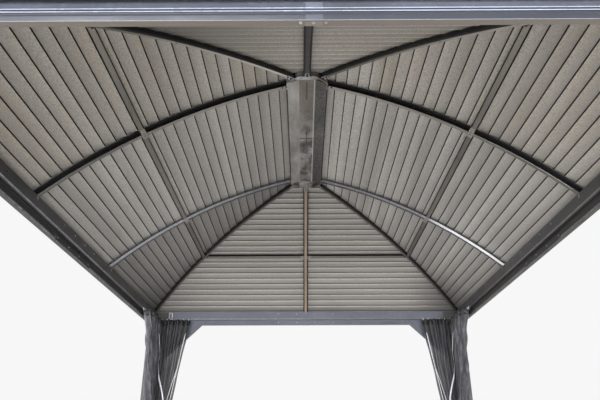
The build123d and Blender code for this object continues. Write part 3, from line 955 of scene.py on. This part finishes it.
class GAZEBO_OT_purlins(bpy.types.Operator):
    """Make the purlins as open channels, in lengths between the rafters"""

    bl_idname = "gazebo.purlins"
    bl_label = "Purlins"

    def execute(self, context):
        sizes = context.scene.gazebo_arch
        # The inside of the channel is black as painted shade.
        channel = painted(strip(purlin_section(), -HALF_LENGTH, HALF_LENGTH), "purlin", "hollow")
        alone(channel)
        edit_mode()
        face_down()
        object_mode()
        gap = 0.0003
        lengths = {"side_purlins": [], "end_purlins": []}
        for bay, place, cuts in bays(RAFTER_WIDTH / 2 + gap, sizes.hip_width / 2 + gap):
            length = moved(copied(channel), place)
            for point, normal in cuts:
                cut(length, point, normal)
            thicken(length, sizes.metal, -1, material_offset=1)
            ease(length, 0.0006, angle=0.8)
            # The back bays and the right middle bay take the dark bar paint as painted shade.
            if bay in ("left_back", "right_back", "right_middle"):
                length.data.materials[0] = LOOKS["dim_keel"]
            lengths["side_purlins" if bay.startswith(("left", "right")) else "end_purlins"].append(length)
        for node, pieces in lengths.items():
            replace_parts(keep(pieces, f"{node}_channels"), node)
        discard(channel)
        return {"FINISHED"}


def curtain_path(level):
    """Middle line of a gathered curtain at a height, round the back right post, and its depth."""
    low, high = CURTAIN_LOW, CURTAIN_HIGH
    if level > TIE_HEIGHT:
        share = (level - TIE_HEIGHT) / (high.z - TIE_HEIGHT)
        side_reach = TIE_REACH + (high.y - low.y - TIE_REACH) * share
        end_reach = TIE_REACH + (high.x - low.x - TIE_REACH) * share
        depth = TIE_DEPTH + (TOP_DEPTH - TIE_DEPTH) * share
    else:
        share = (TIE_HEIGHT - level) / (TIE_HEIGHT - low.z)
        side_reach = end_reach = TIE_REACH + (HEM_REACH - TIE_REACH) * share
        depth = TIE_DEPTH
    x, y = high.x - depth / 2, high.y - depth / 2
    side_end, end_end = Vector((x, high.y - side_reach, level)), Vector((high.x - end_reach, y, level))
    return side_end, Vector((x, y, level)), end_end, depth


def curtain_point(along, level, lift=0.0, swing=None):
    """Point of the gathered net at a share of its width and a height. It follows the folds, or a swing."""
    side_end, corner, end_end, depth = curtain_path(level)
    first, second = (corner - side_end).length, (end_end - corner).length
    folds, turn = sizes_of("curtains").folds, 2 * math.pi
    uneven = 0.014 * math.sin(turn * 2.3 * along + 1.1) + 0.006 * math.sin(2.6 * level + 17 * along)
    phase = turn * folds * (along + uneven)
    wiggle = 0.005 * math.sin(2 * phase) if swing is None else 0
    travel = min(max(along * (first + second) - wiggle, 0), first + second)
    if travel < first:
        point, run = side_end.lerp(corner, travel / first), (corner - side_end).normalized()
    else:
        point, run = corner.lerp(end_end, (travel - first) / second), (end_end - corner).normalized()
    rounding = min(1.0, abs(travel - first) / 0.05)
    across = Vector((-run.y, run.x, 0)) * rounding + Vector((-0.707, -0.707, 0)) * (1 - rounding)
    across = -across.normalized() if across.x > 0 or across.y > 0 else across.normalized()
    if swing is None:
        swing = math.sin(phase) * (0.6 + 0.3 * math.sin(5.1 * along * folds + 1.7 * level))
        slump = math.sin(turn * (6.5 * along + 1.7 * level) + 2.2 * math.sin(9 * along))
        swing += 0.26 * slump * (0.35 + 0.3 * level)
        swing += 0.09 * math.sin(13 * level + 47 * along) * math.sin(5 * level + 2)
        swing += 0.09 * math.sin(31 * level - 23 * along + 3 * math.sin(7 * along))
    return point + across * ((depth / 2 - 0.005) * max(-0.98, min(0.98, swing)) + lift)


def net_grid(name, columns, rows, place):
    """A grid of faces through the points that place(column share, row share) gives."""
    mesh = bpy.data.meshes.new(name)
    grid = bmesh.new()
    verts = [
        [grid.verts.new(place(column / columns, row / rows)) for column in range(columns + 1)]
        for row in range(rows + 1)
    ]
    for lower, upper in zip(verts, verts[1:]):
        for corners in zip(lower, lower[1:], upper[1:], upper):
            grid.faces.new(corners).smooth = True
    grid.to_mesh(mesh)
    grid.free()
    piece = bpy.data.objects.new(name, mesh)
    bpy.context.scene.collection.objects.link(piece)
    return piece


class GAZEBO_OT_curtains(bpy.types.Operator):
    """Make the net curtains, gathered round the posts, with their edge tapes"""

    bl_idname = "gazebo.curtains"
    bl_label = "Curtains"

    def execute(self, context):
        sizes = context.scene.gazebo_curtains
        hem, top = CURTAIN_LOW.z, CURTAIN_HIGH.z - 0.012
        height, heading_height, columns, rows = top - hem, 0.045, sizes.folds * 10, 64
        tape_lines = (
            (((hem, 0.84), (1.3, 0.84), (1.86, 0.38)), 0.03),
            (((hem, 0.985), (1.88, 0.985)), 0.01),
            (((hem, 0.88), (1.0, 0.88), (1.3, 0.915), (1.56, 0.98)), 0.009),
        )

        def net_place(column, row):
            return curtain_point(column, hem + height * row)

        def heading_place(column, row):
            return curtain_point(column, top - heading_height * (1 - row), 0.0015)

        def tape_place(knots, width):
            low, high = knots[0][0], knots[-1][0]

            def place(column, row):
                level = low + (high - low) * row
                share = knots[0][1]
                for (foot, foot_share), (top, top_share) in zip(knots, knots[1:]):
                    if level >= foot:
                        share = foot_share + (top_share - foot_share) * (level - foot) / (top - foot)
                return curtain_point(share + width * (column - 0.5), level, 0.001, 1.0)

            return place

        for end_name, end in ENDS.items():
            for side_name, side in SIDES.items():
                name = f"curtain_{end_name}_{side_name}"
                corner = corner_mirror(side, end)

                def hang(part, look, grids, cloth=0.0):
                    own_name = f"{name}_{part}"
                    pieces = [painted(moved(net_grid(own_name, *grid), corner), look) for grid in grids]
                    if cloth:
                        for piece in pieces:
                            thicken(piece, cloth)
                    return keep(pieces, own_name)

                net = hang("net", "net", [(columns, rows, net_place)])
                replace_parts(net, name)
                tapes = [(2, 44, tape_place(line, width)) for line, width in tape_lines]
                tape = hang("tapes", "tape", tapes, 0.0012)
                band = hang("heading", "webbing", [(columns, 2, heading_place)], 0.001)
        return {"FINISHED"}


# Fittings: each is modelled once at the origin, standing on its +Z side, and copied

def head(sides, radius, height, foot, look, *insets):
    """A disc or prism that stands at a height, with insets (width, depth) in its top."""
    start()
    bpy.ops.mesh.primitive_cylinder_add(
        vertices=sides, radius=radius, depth=height, location=(0, 0, foot + height / 2)
    )
    edit_mode()
    choose(lambda face: face.normal.z > 0.9)
    for width, depth in insets:
        bpy.ops.mesh.inset(thickness=width, depth=depth)
    object_mode()
    return painted(bpy.context.object, look)


def round_head(radius, height, recess=0.0, look="zinc"):
    """A pan head: a disc with a domed edge, and a recess in its top when it has a width for it."""
    insets = [(radius * 0.35, height * 0.25)]
    if recess:
        insets += [(radius * 0.65 - recess, 0), (0.0001, -height * 0.5)]
    return head(12, radius, height, 0, look, *insets)


def hex_bolt(across, height, look="dull_zinc"):
    """A hexagon head with a chamfered top, on a washer."""
    washer_height = height * 0.2
    washer = head(16, across * 0.85, washer_height, 0, look)
    ease(washer, washer_height * 0.3, angle=0.8)
    chamfer = (across * 0.07, height * 0.12)
    return joined([washer, head(6, across * 0.577, height, washer_height, look, chamfer)])


def curtain_glider():
    """A nylon glider: a round head in the rail's track, with a stem below it."""
    button = round_head(0.0055, 0.003, look="nylon")
    start()
    bpy.ops.mesh.primitive_cube_add(size=1, location=(0, 0, -0.01))
    stem = painted(bpy.context.object, "nylon")
    stem.scale = (0.0036, 0.007, 0.02)
    apply_place()
    modify(stem, "BEVEL", width=0.0008, segments=2)
    return joined([button, stem])


def outline_clip(width, height):
    """A bright clip with an open middle, standing in the XZ plane, for the end of a rail's face."""
    start()
    bpy.ops.mesh.primitive_plane_add(
        size=1, location=(-width / 2, 0, height / 2), rotation=(math.pi / 2, 0, 0)
    )
    clip = bpy.context.object
    clip.scale = (width, height, 1)
    apply_place()
    edit_mode()
    choose_all()
    bpy.ops.mesh.inset(thickness=0.008)
    bpy.ops.mesh.delete(type="FACE")
    object_mode()
    thicken(clip, 0.0014)
    ease(clip, 0.0004, angle=0.8)
    return painted(clip, "bright")


def put(master, frame_here, place=(0, 0, 0), direction=(0, 0, 1)):
    """A copy of a fitting, stood on a place of a local frame with its axis along a direction."""
    turn = Vector((0, 0, 1)).rotation_difference(Vector(direction)).to_matrix().to_4x4()
    return moved(copied(master), frame_here @ Matrix.Translation(place) @ turn)


def axes(origin, along, across):
    """Local frame from its origin, its X direction and its Y direction."""
    along, across = Vector(along).normalized(), Vector(across).normalized()
    upright = along.cross(across)
    return Matrix.Translation(origin) @ Matrix((along, across, upright)).transposed().to_4x4()


def slope_frame(x, y, lift=0.0):
    """Frame on the right-hand slope, at a lift above the rafters' underside: X along the eave, Y up it."""
    angle = slope_angle(x)
    place_x, place_z = on_slope(angle, lift - sizes_of("arch").rafter_depth)
    return axes((place_x, y, place_z), (0, 1, 0), (-math.cos(angle), 0, math.sin(angle)))


def hip_frame(x):
    """Frame under the back right hip rafter: X across it, Y up along it."""
    angle = slope_angle(x)
    place_x, place_z = on_slope(angle, -sizes_of("arch").rafter_depth)
    return axes((place_x, place_x + HIP_SHIFT, place_z), (-1, 1, 0), (-1, -1, math.tan(angle)))


def four_corners(pieces):
    """The pieces of the back right corner, with their mirror images at the other three."""
    others = [corner_mirror(side, end) for side, end in ((-1, -1), (-1, 1), (1, -1))]
    return [*pieces, *(moved(copied(piece), mirror) for mirror in others for piece in pieces)]


def both_ways(sides, ends):
    """Pieces of the right side and of the back end, with their mirror images on the left and at the front."""
    twins = [moved(copied(piece), corner_mirror(-1, 1)) for piece in sides]
    return [*sides, *twins, *ends, *(moved(copied(piece), corner_mirror(1, -1)) for piece in ends)]


class GAZEBO_OT_straps(bpy.types.Operator):
    """Screw a joggled strap under each crossing of a purlin and a rafter, and a screw at each purlin end"""

    bl_idname = "gazebo.straps"
    bl_label = "Purlin straps"

    def execute(self, context):
        sizes = context.scene.gazebo_arch
        middle, step = purlin_x(), sizes.rafter_depth - sizes.purlin_depth
        half, reach, drop = RAFTER_WIDTH / 2, 0.046, 0.0011
        joggle = half + 0.003
        profile = [(-reach, step), (-joggle, step), (-half, 0), (half, 0), (joggle, step), (reach, step)]
        strap = folded_plate([(x, z - drop) for x, z in profile], 0.0145, 0.0016, "strap")
        screw = round_head(0.0044, 0.0026, 0.0012, "frame")
        dark_screw = painted(copied(screw), "hollow")

        def strap_set(here):
            return [put(strap, here), *(put(screw, here, (x, 0, -0.0019), DOWN) for x in (-0.013, 0.013))]

        pieces = four_corners(strap_set(slope_frame(middle, RAFTER_LINE)))
        for end in ENDS.values():
            pieces += strap_set(end_slope(end) @ slope_frame(middle, 0))
        keep(pieces, "purlin_straps")

        from_hip = 0.034
        places = [slope_frame(middle, middle + HIP_SHIFT - from_hip, step)]
        places.append(end_slope(1) @ slope_frame(middle, from_hip - middle, step))
        places += [hip_frame(x) for x in (0.35, 0.62, 1.12)]
        ends = [put(dark_screw, here, direction=DOWN) for here in places]
        keep(four_corners(ends), "purlin_end_screws")
        discard(strap, screw, dark_screw)
        return {"FINISHED"}


class GAZEBO_OT_head_plates(bpy.types.Operator):
    """Bolt the head of each rafter, and put a bracket under the foot of each side rafter"""

    bl_idname = "gazebo.head_plates"
    bl_label = "Head plates and foot brackets"

    def execute(self, context):
        profile = [(-0.013, 0), (-0.004, 0.0003), (0.004, 0.0003), (0.013, 0)]
        plate = folded_plate(profile, 0.021, 0.002, "zinc")
        bolt = hex_bolt(0.008, 0.0042, "hollow")
        drop = 0.0011

        def bolts(here, lift):
            return [put(bolt, here, (0, y, lift), DOWN) for y in (-0.011, 0.01)]

        def bolted(here):
            return [put(plate, here, (0, 0, -drop)), *bolts(here, -2 * drop)]

        pieces = four_corners(bolts(slope_frame(0.136, RAFTER_LINE - 0.004), 0.0) + bolted(hip_frame(0.106)))
        for end in ENDS.values():
            pieces += bolted(end_slope(end) @ slope_frame(0.142, 0))
        keep(pieces, "rafter_head_plates")

        screw = round_head(0.0045, 0.0028, 0.0012)
        angle = slope_angle(HALF_WIDTH - 0.02)
        heel = Vector((HALF_WIDTH - 0.0012, EAVE - 0.002))
        toe = heel + Vector((-math.cos(angle), math.sin(angle))) * 0.034
        bracket = folded_plate([(heel.x, heel.y - 0.026), tuple(heel), tuple(toe)], 0.011, 0.002, "dim_keel")
        bracket = moved(bracket, Matrix.Translation((0, RAFTER_LINE, 0)))
        face = axes((HALF_WIDTH - 0.0022, RAFTER_LINE, EAVE - 0.018), (0, 1, 0), (0, 0, 1))
        foot = [bracket, put(screw, face, direction=DOWN)]
        keep(four_corners(foot), "rafter_foot_brackets")
        discard(plate, bolt, screw)
        return {"FINISHED"}


class GAZEBO_OT_ridge_trim(bpy.types.Operator):
    """Put black strips along the sides of the ridge beam as painted shadow of the gap, and cover its seam and
    its middle joint
    """

    bl_idname = "gazebo.ridge_trim"
    bl_label = "Ridge trim"

    def execute(self, context):
        end, crown = HIP_SHIFT + RIDGE_CROWN_HALF - 0.004, RIDGE_CROWN_HALF
        lap, edge_x, edge_z = RIDGE_CROWN - 0.0006, RIDGE_HALF - 0.004, RIDGE_FOOT + 0.0008
        # Black strips along the sides of the ridge: painted shadow of the gap to the sheets.
        profile = near(RIDGE_HALF, RIDGE_FOOT, (0.0008, 0.0005), (0.0062, 0.0025), (0.0062, 0.014))
        gap = folded(profile, 0.03 - end, end - 0.03, 0.0012, "hollow")
        keep(both_ways([gap], []), "ridge_closure_strips")

        profile = near(0, RIDGE_CROWN, (-0.0022, -0.0003), (0, -0.0012), (0.0022, -0.0003))
        slot = folded(profile, -end + 0.012, -end + 0.19, 0.0006, "hollow")
        middle = moved(copied(slot), Matrix.Translation((0, end - 0.1, 0)))
        profile = [(-edge_x, edge_z), (-crown, lap), (crown, lap), (edge_x, edge_z)]
        cover = folded_plate(profile, 0.008, 0.001, "ridge")
        half_joint, joint_z = crown - 0.004, lap - 0.0012
        joint = folded_plate([(-half_joint, joint_z), (half_joint, joint_z)], 0.003, 0.0008, "hollow")
        screw = round_head(0.0045, 0.0028, 0.0012)
        pieces = [slot, middle, cover, joint]
        for x in (-0.07, -0.022, 0.022, 0.07):
            fall = max(0.0, (abs(x) - crown) / (RIDGE_HALF - crown))
            place = (x, 0.02, RIDGE_CROWN - 0.0004 - fall * (RIDGE_CROWN - RIDGE_FOOT))
            pieces.append(put(screw, Matrix.Translation(place), direction=DOWN))
        keep(pieces, "ridge_joint")
        discard(screw)
        return {"FINISHED"}


class GAZEBO_OT_beam_trim(bpy.types.Operator):
    """Add strips and beads along the beams and rails, most of them bright as painted highlights, with joint
    covers, clips and screws
    """

    bl_idname = "gazebo.beam_trim"
    bl_label = "Beam and rail trim"

    def execute(self, context):
        reach_y, reach_x = POST_END_FACE - 0.16, POST_FACE - 0.16
        end_bead, metal, rounding = BEAM_BEAD + HIP_SHIFT, 0.0012, 0.0004

        def edging(line, look, end_line, end_look):
            """A strip along each beam, from its profile on the right-hand side beam."""
            side = folded(line, -reach_y, reach_y, metal, look, rounding)
            across = near(HIP_SHIFT, 0, *end_line)
            end = moved(folded(across, -reach_x, reach_x, metal, end_look, rounding), QUARTER)
            return both_ways([side], [end])

        def ridged(x, z, depth, height):
            """Profile of a strip with a ridge along its middle."""
            return near(x, z, (0, 0), (depth, height / 2), (0, height))

        # A bright strip along the foot of each side beam is a painted highlight on its lip; the end beams'
        # strips are in beam paint.
        line, end_line = (near(BEAM_INNER - 0.001, BEAM_FOOT, (0, top), (0, 0.001)) for top in (0.013, 0.005))
        keep(edging(line, "bright", end_line, "beam"), "beam_foot_strips")

        # Two bright lines along the foot of each rail: painted highlights.
        highlight_strips = []
        for height in (0.003, 0.009):
            line = ridged(HALF_WIDTH - 0.0006, RAIL_FOOT + height, -0.001, 0.002)
            highlight_strips += edging(line, "bright", line, "bright")
        keep(highlight_strips, "rail_tracks")

        # Bright lines on the beads of the beams: painted highlights.
        beads = []
        for x, z, height, look in ((-0.0035, 0.0005, 0.0022, "bright"), (-0.0005, 0.0325, 0.0024, "bead"),
                                   (-0.0035, 0.0455, 0.0024, "bead")):
            line = ridged(BEAM_BEAD + x, BEAM_FOOT + z, 0.0022, height)
            beads += edging(line, look, line, "bead")
        keep(beads, "beam_beads")

        width, height = 0.036, 0.062
        place = (0.1215 + width - HALF_WIDTH, HALF_LENGTH - 0.0008, RAIL_FOOT + 0.004)
        clip = moved(outline_clip(width, height), Matrix.Translation(place))
        keep([clip, moved(copied(clip), Matrix.Rotation(math.pi, 4, "Z"))], "rail_end_clips")

        screw = round_head(0.0048, 0.003, 0.0013)
        rail_face = axes((HALF_WIDTH - 0.0003, 0, RAIL_FOOT + 0.052), (0, 1, 0), (0, 0, 1))
        skirt_face = axes((BEAM_INNER - 0.0045, 0, BEAM_FOOT + 0.021), (0, 1, 0), (0, 0, 1))
        back = Matrix.Translation((0, HIP_SHIFT, 0)) @ QUARTER
        side_screws, end_screws = (
            [put(screw, place @ face, (y, 0, 0), DOWN)
             for y in (-0.255, -0.085, 0.085, 0.255) for face in (rail_face, skirt_face)]
            for place in (Matrix(), back)
        )
        keep(both_ways(side_screws, end_screws), "splice_screws")

        face, inner = -0.0038, BEAM_INNER - BEAM_BEAD
        bends = [(face, 0.07), (face, 0.0006), (face - 0.002, -0.0009), (inner, -0.0009)]
        sleeve = folded_plate(near(end_bead, BEAM_FOOT, *bends), 0.0248, metal, "sleeve")
        sleeve = moved(sleeve, Matrix.Translation((0.0063, 0, 0)) @ QUARTER)
        dots = [put(screw, Matrix.Translation((x, end_bead - 0.011, BEAM_FOOT - 0.0015)), direction=DOWN)
                for x in (-0.0325, 0.0036, 0.0397)]
        keep(both_ways([], [sleeve, *dots]), "beam_joint_covers")
        discard(screw)
        return {"FINISHED"}


class GAZEBO_OT_curtain_fittings(bpy.types.Operator):
    """Hang the curtains on gliders and tie a strap round each"""

    bl_idname = "gazebo.curtain_fittings"
    bl_label = "Gliders and ties"

    def execute(self, context):
        glider = curtain_glider()
        x, y, z = CURTAIN_HIGH.x - 0.006, CURTAIN_HIGH.y - 0.006, CURTAIN_HIGH.z + 0.004
        steps = [0.06 + 0.05 * step for step in range(9)]
        places = [(x, CURTAIN_HIGH.y - step, z) for step in steps]
        places += [(CURTAIN_HIGH.x - step, y, z) for step in steps[:6]]
        gliders = [put(glider, Matrix.Translation(place)) for place in places]
        keep(four_corners(gliders), "curtain_gliders")

        side_end, corner, end_end, depth = curtain_path(TIE_HEIGHT)
        width, half, slack = 0.036, depth / 2 - 0.003, 0.012
        inner, outer = side_end.x - half, side_end.x + half
        near, far = side_end.y - slack, end_end.x - slack
        loop = [(inner, near), (outer, near), (outer, corner.y + half)]
        loop += [(far, corner.y + half), (far, corner.y - half), (inner, corner.y - half)]
        strap = outline([(x, y, TIE_HEIGHT - width / 2) for x, y in [*loop, loop[0]]])
        edit_mode("VERT")
        choose_all()
        bpy.ops.mesh.remove_doubles(threshold=SEED / 2)
        bpy.ops.mesh.bevel(offset=0.018, segments=4, affect="VERTICES")
        bpy.ops.mesh.select_mode(type="EDGE")
        choose_all()
        bpy.ops.mesh.extrude_region_move(TRANSFORM_OT_translate={"value": (0, 0, width)})
        object_mode()
        thicken(strap, 0.0022)
        ease(strap, 0.0006)
        keep(four_corners([painted(strap, "webbing")]), "curtain_ties")
        discard(glider)
        return {"FINISHED"}


class GAZEBO_OT_anchors(bpy.types.Operator):
    """Put an anchor bolt through each hole of the base plates"""

    bl_idname = "gazebo.anchors"
    bl_label = "Anchor bolts"

    def execute(self, context):
        sizes = context.scene.gazebo_anchors
        bolt = hex_bolt(sizes.across, 0.009)
        holes = [(sizes.line_x, y, sizes.plate) for y in (sizes.line_y, sizes.line_y + sizes.spacing)]
        bolts = [put(bolt, Matrix.Translation(hole)) for hole in holes]
        keep(four_corners(bolts), "anchor_bolts")
        discard(bolt)
        return {"FINISHED"}


# Stage

def floor_material(colour):
    """Plain pale floor with a very slight mottle."""
    look = Look("floor_pale", 0.8)
    return look.done(look.mix(look.noise(0.8, 4), shade(colour, 0.97), colour))


def light_world(world, lighting, seen_white):
    """A white studio that lights evenly, and looks brighter to the camera and in glossy surfaces."""
    world.use_nodes = True
    tree = world.node_tree
    tree.nodes.clear()
    rays = add_node(tree, "LightPath").outputs
    seen = rays["Is Camera Ray"]
    for ray in ("Is Glossy Ray", "Is Transmission Ray"):
        seen = add_node(tree, "Math", {0: seen, 1: rays[ray]}, operation="MAXIMUM").outputs["Value"]
    strength = add_node(tree, "MapRange", {"Value": seen, "To Min": lighting, "To Max": seen_white})
    sky = add_node(tree, "Background", {"Color": (1, 1, 1, 1), "Strength": strength.outputs["Result"]})
    add_node(tree, "OutputWorld", {"Surface": sky.outputs["Background"]})


def lamp(name, place, target, size, power):
    """A soft rectangular lamp that the camera doesn't see."""
    start()
    bpy.ops.object.light_add(type="AREA", location=place)
    light = bpy.context.object
    light.name = name
    light.data.shape = "RECTANGLE"
    light.data.size, light.data.size_y = size
    light.data.energy = power
    light.rotation_euler = (Vector(target) - Vector(place)).to_track_quat("-Z", "Y").to_euler()
    light.visible_camera = False


class GAZEBO_OT_stage(bpy.types.Operator):
    """Lay the floor, hang the lamps and set up the camera"""

    bl_idname = "gazebo.stage"
    bl_label = "Stage"

    def execute(self, context):
        sizes = context.scene.gazebo_stage
        start()
        bpy.ops.mesh.primitive_plane_add(size=120, location=(0, 0, 0))
        floor = context.object
        floor.name = "floor"
        floor.data.materials.append(floor_material(sizes.floor))

        context.scene.world = context.scene.world or bpy.data.worlds.new("studio")
        light_world(context.scene.world, 0.66, 0.93)
        lamp("front_lamp", (0, -8.5, 0.9), (0, 0, 1.3), (8, 1.7), 1150)
        lamp("left_lamp", (-8.5, 0, 0.9), (0, 0, 1.3), (7, 1.7), 480)
        lamp("key_lamp", (-3, -9, 8), (0, 0, 1.5), (5, 5), 600)
        lamp("back_lamp", (5, 8, 8), (0, 0, 1.5), (5, 5), 260)

        context.scene.view_settings.view_transform = "Standard"
        bpy.ops.object.camera_add(location=sizes.place)
        camera = context.object
        camera.name = "photo_camera"
        camera.data.lens = sizes.lens
        level = math.cos(sizes.pitch)
        forward = Vector((math.sin(sizes.yaw) * level, math.cos(sizes.yaw) * level, math.sin(sizes.pitch)))
        turn = forward.to_track_quat("-Z", "Y").to_matrix().to_4x4()
        camera.matrix_world = Matrix.Translation(sizes.place) @ turn @ Matrix.Rotation(sizes.roll, 4, "Z")
        context.scene.camera = camera
        return {"FINISHED"}


class GAZEBO_PT_parts(bpy.types.Panel):
    """Lists the pieces of the gazebo"""

    bl_idname = "GAZEBO_PT_parts"
    bl_label = "Gazebo"
    bl_space_type = "VIEW_3D"
    bl_region_type = "UI"
    bl_category = "Gazebo"

    def draw(self, context):
        for operator in STEPS:
            self.layout.operator(operator.bl_idname)


STEPS = [
    GAZEBO_OT_paint_frame, GAZEBO_OT_rafters, GAZEBO_OT_purlins, GAZEBO_OT_roof_sheets, GAZEBO_OT_curtains,
    GAZEBO_OT_straps, GAZEBO_OT_head_plates, GAZEBO_OT_ridge_trim, GAZEBO_OT_beam_trim,
    GAZEBO_OT_curtain_fittings, GAZEBO_OT_anchors, GAZEBO_OT_stage,
]
GROUPS = {
    "gazebo_arch": ArchSizes, "gazebo_sheets": SheetSizes, "gazebo_paints": PaintColours,
    "gazebo_curtains": CurtainSizes, "gazebo_anchors": AnchorSizes, "gazebo_stage": StageSizes,
}


def register():
    for registered in [*GROUPS.values(), *STEPS, GAZEBO_PT_parts]:
        bpy.utils.register_class(registered)
    for name, group in GROUPS.items():
        setattr(bpy.types.Scene, name, PointerProperty(type=group))


def unregister():
    for name in GROUPS:
        delattr(bpy.types.Scene, name)
    for registered in [GAZEBO_PT_parts, *reversed(STEPS), *GROUPS.values()]:
        bpy.utils.unregister_class(registered)


def main():
    register()
    bpy.ops.gazebo.paint_frame()
    bpy.ops.gazebo.rafters()
    bpy.ops.gazebo.purlins()
    bpy.ops.gazebo.roof_sheets()
    bpy.ops.gazebo.curtains()
    bpy.ops.gazebo.straps()
    bpy.ops.gazebo.head_plates()
    bpy.ops.gazebo.ridge_trim()
    bpy.ops.gazebo.beam_trim()
    bpy.ops.gazebo.curtain_fittings()
    bpy.ops.gazebo.anchors()
    bpy.ops.gazebo.stage()


if __name__ == "__main__":
    main()
